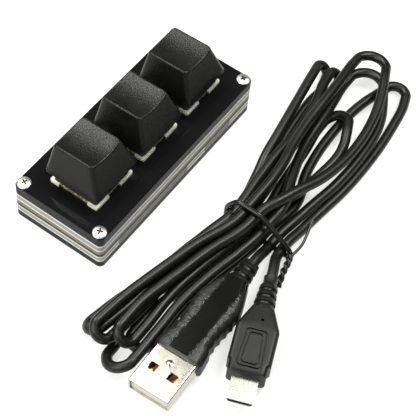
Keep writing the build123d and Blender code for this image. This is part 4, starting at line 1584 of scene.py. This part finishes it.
@dataclass
class WireTie(SubAssembly):
    """The coated wire round the bundle, its twisted ends and its tail."""

    x: float = -1.5
    loop: tuple[Pair, ...] = (
        (-31.4, 0.75), (-31.4, 6.6), (-34.3, 11.2), (-41.4, 11.2), (-46.4, 8.0), (-52.3, 3.6),
        (-52.3, 0.75),
    )
    twist: tuple[Point, ...] = (
        (-1.9, -52.6, 3.2), (-4.4, -53.5, 3.4), (-7.6, -54.0, 2.6), (-11.4, -55.1, 1.6)
    )
    tail: tuple[Point, ...] = (
        (-2.6, -52.9, 3.2), (0.6, -53.6, 3.4), (4.2, -53.3, 3.6), (10.2, -51.6, 4.2)
    )
    wire: float = 1.45
    strand: float = 1.05
    tail_wire: float = 0.8
    corner: float = 1.3
    twist_offset: float = 0.45
    twist_turns: float = 2.5
    twist_points: int = 40
    corner_steps: int = 2
    facets: int = 5
    steps: int = 8

    def strands(self, phase: float) -> list[Vector]:
        """One of the two wires that wind round each other.

        Args:
            phase: Its starting angle.

        Returns:
            Its points.
        """
        route = [Vector(point) for point in self.twist]
        points = []
        for index in range(self.twist_points + 1):
            share = index / self.twist_points * (len(route) - 1)
            step = min(int(share), len(route) - 2)
            middle = route[step].lerp(route[step + 1], share - step)
            along = (route[step + 1] - route[step]).normalized()
            side = along.cross(Vector((0, 0, 1))).normalized()
            up = side.cross(along)
            angle = phase + 2 * math.pi * self.twist_turns * index / self.twist_points
            away = side * math.cos(angle) + up * math.sin(angle)
            points.append(middle + away * self.twist_offset)
        return points

    def build(self) -> bpy.types.Object:
        """Build and dress the tie.

        Returns:
            Its object.
        """
        curve = round_curve("wire_tie", 1.0, self.facets, self.steps)
        outline = rounded_polygon(self.loop, self.corner, self.corner_steps)
        self.spline(curve, [Vector((self.x, y, z)) for y, z in outline], self.wire, True)
        for phase in (0.0, math.pi):
            self.spline(curve, self.strands(phase), self.strand)
        self.spline(curve, [Vector(point) for point in self.tail], self.tail_wire)
        return self.add("wire_tie", curve, Look.TIE, ["cable_tie"])

    def spline(
        self, curve: bpy.types.Curve, points: Sequence[Vector], width: float, closed: bool = False
    ) -> None:
        """Add one wire to the curve.

        Args:
            curve: The curve.
            points: Its control points.
            width: Its diameter.
            closed: Whether it joins itself.
        """
        made = curve.splines.new("NURBS")
        place_points(made, points, width)
        made.order_u = 3
        made.use_endpoint_u = not closed
        made.use_cyclic_u = closed


@dataclass(frozen=True)
class Relief:
    """The ribbed end of a grip, from the grip's neck to the cable."""

    length: float
    front: float
    back: float
    rings: int
    sleeve: float = 0.0
    groove_depth: float = 0.55
    groove_share: float = 0.42
    soft: float = 0.14
    lean: float = 0.05
    hub: float = 0.05
    facets: int = 48

    def profile(self) -> list[Pair]:
        """Pairs of radius and distance from the neck.

        Returns:
            The profile.
        """
        step = (self.length - self.sleeve) / self.rings
        points = [(self.hub, 0.0)]
        for ring in range(self.rings):
            start = ring * step
            groove = start + step * (1 - self.groove_share)
            ahead, after = self.radius(start), self.radius(groove)
            points += [
                (ahead - self.soft, start), (ahead, start + self.soft),
                (after, groove - self.soft), (after - self.soft, groove),
            ]
            if ring < self.rings - 1:
                low = after - self.groove_depth
                points += [(low, groove + self.lean), (low, start + step - self.lean)]
        end = self.back / 2 - self.soft
        if self.sleeve:
            points.append((end - self.soft, self.length - self.sleeve + self.soft))
        return points + [(end, self.length), (self.hub, self.length)]

    def radius(self, distance: float) -> float:
        """Radius of a rib at a distance from the neck."""
        return (self.front + (self.back - self.front) * distance / self.length) / 2

    def form(self) -> Form:
        """The relief as a form that runs along -X from the neck.

        Returns:
            The form.
        """
        made = Form()
        made.revolve(self.profile(), Matrix.Rotation(-math.pi / 2, 4, "Y"), self.facets)
        return made


@dataclass
class Station:
    """One cross section of a grip."""

    x: float
    width: float
    height: float
    radius: float
    crown: float = 0.0
    roundest: float = 0.49
    fall: int = 4
    corner_steps: int = 6
    side_steps: int = 14

    def ring(self) -> Ring:
        """Its outline in the plane across X, with faces that fall towards the sides.

        Returns:
            The outline.
        """
        radius = min(self.radius, self.roundest * min(self.width, self.height))
        outline = rounded_outline(
            self.width, self.height, radius, self.corner_steps, self.side_steps
        )
        return [
            Vector((self.x, y, z * (1 - self.crown * (2 * y / self.width) ** self.fall)))
            for y, z in outline
        ]


def tapered(start: float, end: float, share: float) -> float:
    """A value that stays at the start up to share zero, then goes evenly to the end."""
    return start + (end - start) * max(0.0, share)


@dataclass(kw_only=True)
class Plug(SubAssembly):
    """A plug: its grip, its strain relief and the CAD nodes of its shell."""

    place: Place
    prefix: str
    look: Look
    relief: Relief
    length: float
    front: float
    thickness: float
    neck: float
    neck_thickness: float
    edge: float
    front_edge: tuple[Pair, ...]
    crown: float = 0.0

    def station(self, x: float, width: float, height: float) -> Station:
        """A cross section with this grip's edge and crown."""
        return Station(x, width, height, self.edge, self.crown)

    def front_stations(self) -> list[Station]:
        """The soft edge of the front face.

        Returns:
            Its cross sections.
        """
        return [
            self.station(x, self.front - 2 * inset, self.thickness - 2 * inset)
            for inset, x in self.front_edge
        ]

    def stations(self) -> list[Station]:
        """The grip's cross sections from its front face back."""
        raise NotImplementedError

    def detail(self, mesh: bpy.types.Mesh) -> bpy.types.Mesh:
        """The grip with what is cut into it."""
        return mesh

    def end(self) -> Waypoint:
        """The middle of the relief's free end and the way the cable leaves.

        Returns:
            The point and the heading.
        """
        matrix = self.place.matrix()
        point = matrix @ Vector((-self.length - self.relief.length, 0, 0))
        beyond = matrix @ Vector((-self.length - self.relief.length - 1, 0, 0))
        return point, (beyond - point).normalized()

    def build(self) -> list[bpy.types.Object]:
        """Build and dress the grip and the relief.

        Returns:
            Their objects and the shell's CAD objects.
        """
        prefix, matrix = self.prefix, self.place.matrix()
        form = Form()
        form.skin([station.ring() for station in self.stations()], True, True)
        mesh = self.detail(form.mesh(f"{prefix}_grip", matrix))
        grip = self.add(f"{prefix}_grip", mesh, self.look, [f"{prefix}_overmould"])
        back = matrix @ Matrix.Translation((-self.length, 0, 0))
        ribbed = self.relief.form().mesh(f"{prefix}_relief", back)
        relief = self.add(f"{prefix}_relief", ribbed, Look.GRIP, [f"{prefix}_strain_relief"])
        names = ("shell", "insulator", "contacts")
        return [grip, relief, *(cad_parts[f"{prefix}_{name}"] for name in names)]


@dataclass(kw_only=True)
class LargePlug(Plug):
    """The plug with the large flat shell and the waisted grip."""

    place: Place = Place((-45.9, -47.4, 4.6), 181.2, 0.5, 4.0)
    prefix: str = "usb_a"
    look: Look = Look.PADDED_GRIP
    relief: Relief = Relief(7.2, 6.2, 4.6, 3)
    length: float = 27.0
    front: float = 13.8
    thickness: float = 7.6
    neck: float = 7.0
    neck_thickness: float = 6.4
    edge: float = 1.5
    front_edge: tuple[Pair, ...] = ((0.45, 0.0), (0.13, -0.13), (0.0, -0.45))
    crown: float = 0.3
    waist: float = 11.8
    bulge: float = 12.9
    waist_share: float = 0.33
    bulge_share: float = 0.62
    slope: float = 0.35
    count: int = 90
    grip_start: float = 5.0
    grip_end: float = 18.0
    grip_pitch: float = 2.6
    grip_depth: float = 0.38

    def width(self, share: float) -> float:
        """Width before the finger grooves.

        Args:
            share: Distance from the front as a share of the length.

        Returns:
            The width.
        """
        if share < self.waist_share:
            return ease(self.front, self.waist, share / self.waist_share)
        if share < self.bulge_share:
            span = self.bulge_share - self.waist_share
            return ease(self.waist, self.bulge, (share - self.waist_share) / span)
        span = 1 - self.bulge_share
        return ease(
            self.bulge, self.neck, (share - self.bulge_share) / span,
            arrive=-2 * self.slope * span * self.length,
        )

    def scallop(self, distance: float) -> float:
        """How deep the finger grooves cut in.

        Args:
            distance: Distance from the front.

        Returns:
            The depth on each side.
        """
        if not self.grip_start < distance < self.grip_end:
            return 0.0
        wave = abs(math.sin(math.pi * (distance - self.grip_start) / self.grip_pitch))
        return self.grip_depth * wave

    def stations(self) -> list[Station]:
        """A soft front edge, then the waisted sides with finger grooves to the neck.

        Returns:
            The cross sections from the front back.
        """
        found = self.front_stations()
        for index in range(1, self.count + 1):
            share = index / self.count
            past = (share - self.bulge_share) / (1 - self.bulge_share)
            height = tapered(self.thickness, self.neck_thickness, past)
            width = self.width(share) - 2 * self.scallop(share * self.length)
            found.append(self.station(-share * self.length, width, height))
        return found


@dataclass(kw_only=True)
class SmallPlug(Plug):
    """The plug with the small shell, the shouldered grip and the bare framed panel."""

    place: Place = Place((-39.6, -63.9, 4.0), 201.5, 0.5, 0.0)
    prefix: str = "micro_b"
    look: Look = Look.GRIP
    relief: Relief = Relief(10.5, 6.2, 4.2, 4, 1.9)
    length: float = 19.4
    front: float = 10.0
    thickness: float = 7.2
    neck: float = 6.1
    neck_thickness: float = 5.8
    edge: float = 1.2
    front_edge: tuple[Pair, ...] = ((0.4, 0.0), (0.12, -0.12), (0.0, -0.4))
    body_width: float = 11.2
    nose_length: float = 2.7
    shoulder: float = 6.2
    spacing: float = 0.8
    last_span: float = 0.3
    panel_start: float = -1.3
    panel_length: float = 11.0
    panel_front: float = 6.9
    panel_back: float = 5.4
    panel_corner: float = 1.0
    margin: float = 0.95
    groove: float = 0.42
    groove_depth: float = 0.45
    knife_rise: float = 1.0
    dot: float = 0.42
    dot_depth: float = 1.0
    dot_rise: float = 3.0
    dot_place: Pair = (-15.4, 0.6)
    dot_facets: int = 24

    def stations(self) -> list[Station]:
        """Nose, step, shoulder and the taper to the neck.

        Returns:
            The cross sections from the front back.
        """
        body_start = -self.nose_length - (self.body_width - self.front) / 2
        taper = self.shoulder - self.length
        flat_end = self.panel_start - self.panel_length - self.margin
        found = self.front_stations()
        found.append(self.station(-self.nose_length, self.front, self.thickness))
        found.append(self.station(body_start, self.body_width, self.thickness))
        x = body_start - self.spacing
        while x > -self.length + self.last_span:
            width = tapered(self.body_width, self.neck, (taper - x) / (taper + self.length))
            past = (flat_end - x) / (flat_end + self.length)
            found.append(
                self.station(x, width, tapered(self.thickness, self.neck_thickness, past))
            )
            x -= self.spacing
        found.append(self.station(-self.length, self.neck, self.neck_thickness))
        return found

    def panel_ring(self, margin: float, height: float) -> Ring:
        """The panel's outline.

        Args:
            margin: How far it is drawn in.
            height: Its height over the grip's middle.

        Returns:
            Its points.
        """
        start = self.panel_start - margin
        end = self.panel_start - self.panel_length + margin
        front = self.panel_front / 2 - margin
        back = self.panel_back / 2 - margin
        outline = rounded_polygon(
            [(start, -front), (start, front), (end, back), (end, -back)], self.panel_corner
        )
        return [Vector((x, y, height)) for x, y in outline]

    def detail(self, mesh: bpy.types.Mesh) -> bpy.types.Mesh:
        """The grip with two panel lines and a small hole cut into its top.

        Args:
            mesh: The plain grip.

        Returns:
            The cut grip.
        """
        matrix = self.place.matrix()
        low = self.thickness / 2 - self.groove_depth
        high = self.thickness / 2 + self.knife_rise
        for number, margin in enumerate((0.0, self.margin)):
            knife = Form()
            rows = [
                (margin, high), (margin, low), (margin + self.groove, low),
                (margin + self.groove, high), (margin, high),
            ]
            knife.skin([self.panel_ring(*row) for row in rows])
            tool = knife.mesh(f"panel_line_{number}", matrix)
            mesh = cut(mesh, tool, f"{self.prefix}_lined_{number}")
        hole = Form()
        hole.revolve(
            [(self.dot, -self.dot_depth), (self.dot, self.dot_rise)],
            Matrix.Translation((*self.dot_place, low)), self.dot_facets,
        )
        return cut(mesh, hole.mesh("small_hole", matrix), f"{self.prefix}_holed")


# The room


@dataclass(frozen=True)
class Lamp:
    """A square lamp that faces the object, in metres and watts."""

    name: str
    place: Point
    side: float
    power: float
    tint: Colour = (0.99, 1.0, 0.95)
    aim: Point = (0.0, -0.02, 0.01)

    def build(self) -> None:
        """Hang the lamp."""
        data = bpy.data.lights.new(self.name, "AREA")
        data.shape = "RECTANGLE"
        data.size = data.size_y = self.side
        data.energy = self.power
        data.color = self.tint
        turn = (Vector(self.aim) - Vector(self.place)).to_track_quat("-Z", "Y")
        made = shown(self.name, data)
        made.matrix_world = Matrix.Translation(self.place) @ turn.to_matrix().to_4x4()


@dataclass(frozen=True)
class Studio:
    """Camera, floor, backdrop light and lamps."""

    focal: float = 1273.764
    image: float = 416.0
    sensor: float = 36.0
    near: float = 0.01
    camera_place: Point = (-0.172134, -0.12365, 0.287389)
    right: Point = (0.57944672, -0.81225119, 0.06700371)
    down: Point = (-0.65122589, -0.51086623, -0.56117781)
    forward: Point = (0.49004728, 0.28153809, -0.82497877)
    floor_side: float = 1500.0
    floor_corner: float = 100.0
    floor_grey: Colour = (0.34, 0.34, 0.34)
    fibre: float = 0.8
    lift: float = 0.64
    backdrop: Colour = (1.0, 1.0, 1.0)
    ambient: Colour = (0.12, 0.12, 0.12)
    lamps: tuple[Lamp, ...] = (
        Lamp("back_lamp", (0.12, 0.54, 0.86), 0.4, 9.0),
        Lamp("right_lamp", (0.38, -0.22, 0.9), 0.35, 8.0),
        Lamp("left_lamp", (-1.0, 0.35, 1.0), 1.2, 22.0),
        Lamp("front_lamp", (-0.6, -0.9, 1.0), 1.0, 4.0),
    )

    def camera(self) -> None:
        """The camera at the photograph's angle."""
        data = bpy.data.cameras.new("camera")
        data.sensor_width = self.sensor
        data.lens = self.focal * self.sensor / self.image
        data.clip_start = self.near
        made = shown("camera", data)
        columns = (Vector(self.right), -Vector(self.down), -Vector(self.forward))
        turn = Matrix(columns).transposed().to_4x4()
        made.matrix_world = Matrix.Translation(self.camera_place) @ turn
        bpy.context.scene.camera = made

    def floor(self) -> None:
        """A wide white floor."""
        form = Form()
        outline = rounded_outline(self.floor_side, self.floor_side, self.floor_corner, 4)
        form.skin([[Vector((x, y, 0)) for x, y in outline]], True)
        mesh = form.mesh("floor", Matrix())
        surface = Surface("floor_paper")
        fibre = surface.noise(self.fibre)
        surface.set(
            Base_Color=self.floor_grey,
            Roughness=0.85 + fibre * 0.1,
            Emission_Color=surface.blend(surface.seen(), (0.0, 0.0, 0.0), self.backdrop),
            Emission_Strength=self.lift,
        )
        mesh.materials.append(surface.material)
        shown("floor", mesh)

    def world(self) -> None:
        """White behind the floor for the camera, soft grey for everything else."""
        world = bpy.data.worlds.new("room")
        bpy.context.scene.world = world
        world.use_nodes = True
        tree = world.node_tree
        mix = tree.nodes.new("ShaderNodeMix")
        mix.data_type = "RGBA"
        path = tree.nodes.new("ShaderNodeLightPath")
        tree.links.new(path.outputs["Is Camera Ray"], mix.inputs[0])
        feed(tree, mix.inputs[6], self.ambient)
        feed(tree, mix.inputs[7], self.backdrop)
        tree.links.new(mix.outputs[2], tree.nodes["Background"].inputs["Color"])

    def build(self) -> None:
        """Set up the room."""
        self.camera()
        self.floor()
        self.world()
        for lamp in self.lamps:
            lamp.build()
        bpy.context.scene.view_settings.view_transform = "Standard"


def dress_cad() -> None:
    """Give the CAD nodes that stay their finishes."""
    looks = {name: look for look, names in CAD_LOOKS.items() for name in names}
    for look, names in CAD_KEY_LOOKS.items():
        looks.update({f"{name}_{number}": look for name in names for number in KEYS})
    for name, look in looks.items():
        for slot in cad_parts[name].material_slots:
            slot.link = "OBJECT"
            slot.material = look.value.material()


def main() -> None:
    """Build every group in order."""
    logging.basicConfig(level=logging.INFO, format="%(name)s: %(message)s")
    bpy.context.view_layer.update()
    Studio().build()
    small, large = SmallPlug(), LargePlug()
    pieces = small.build() + large.build()
    pieces.append(WireTie().build())
    small_end, small_heading = small.end()
    large_end, large_heading = large.end()
    Cable(
        small_end=small_end, small_heading=small_heading,
        large_end=large_end, large_heading=large_heading,
    ).build(pieces)
    log.info("cable and plugs built")
    for number, middle in KEYS.items():
        Keycap(body=f"key_{number}", number=number, middle=middle).build()
        SwitchSpring(number=number).build()
    CaseScrews().build()
    log.info("caps and screws built")
    dress_cad()
    bpy.context.view_layer.update()
    log.info("sizes written")


if __name__ == "__main__":
    main()
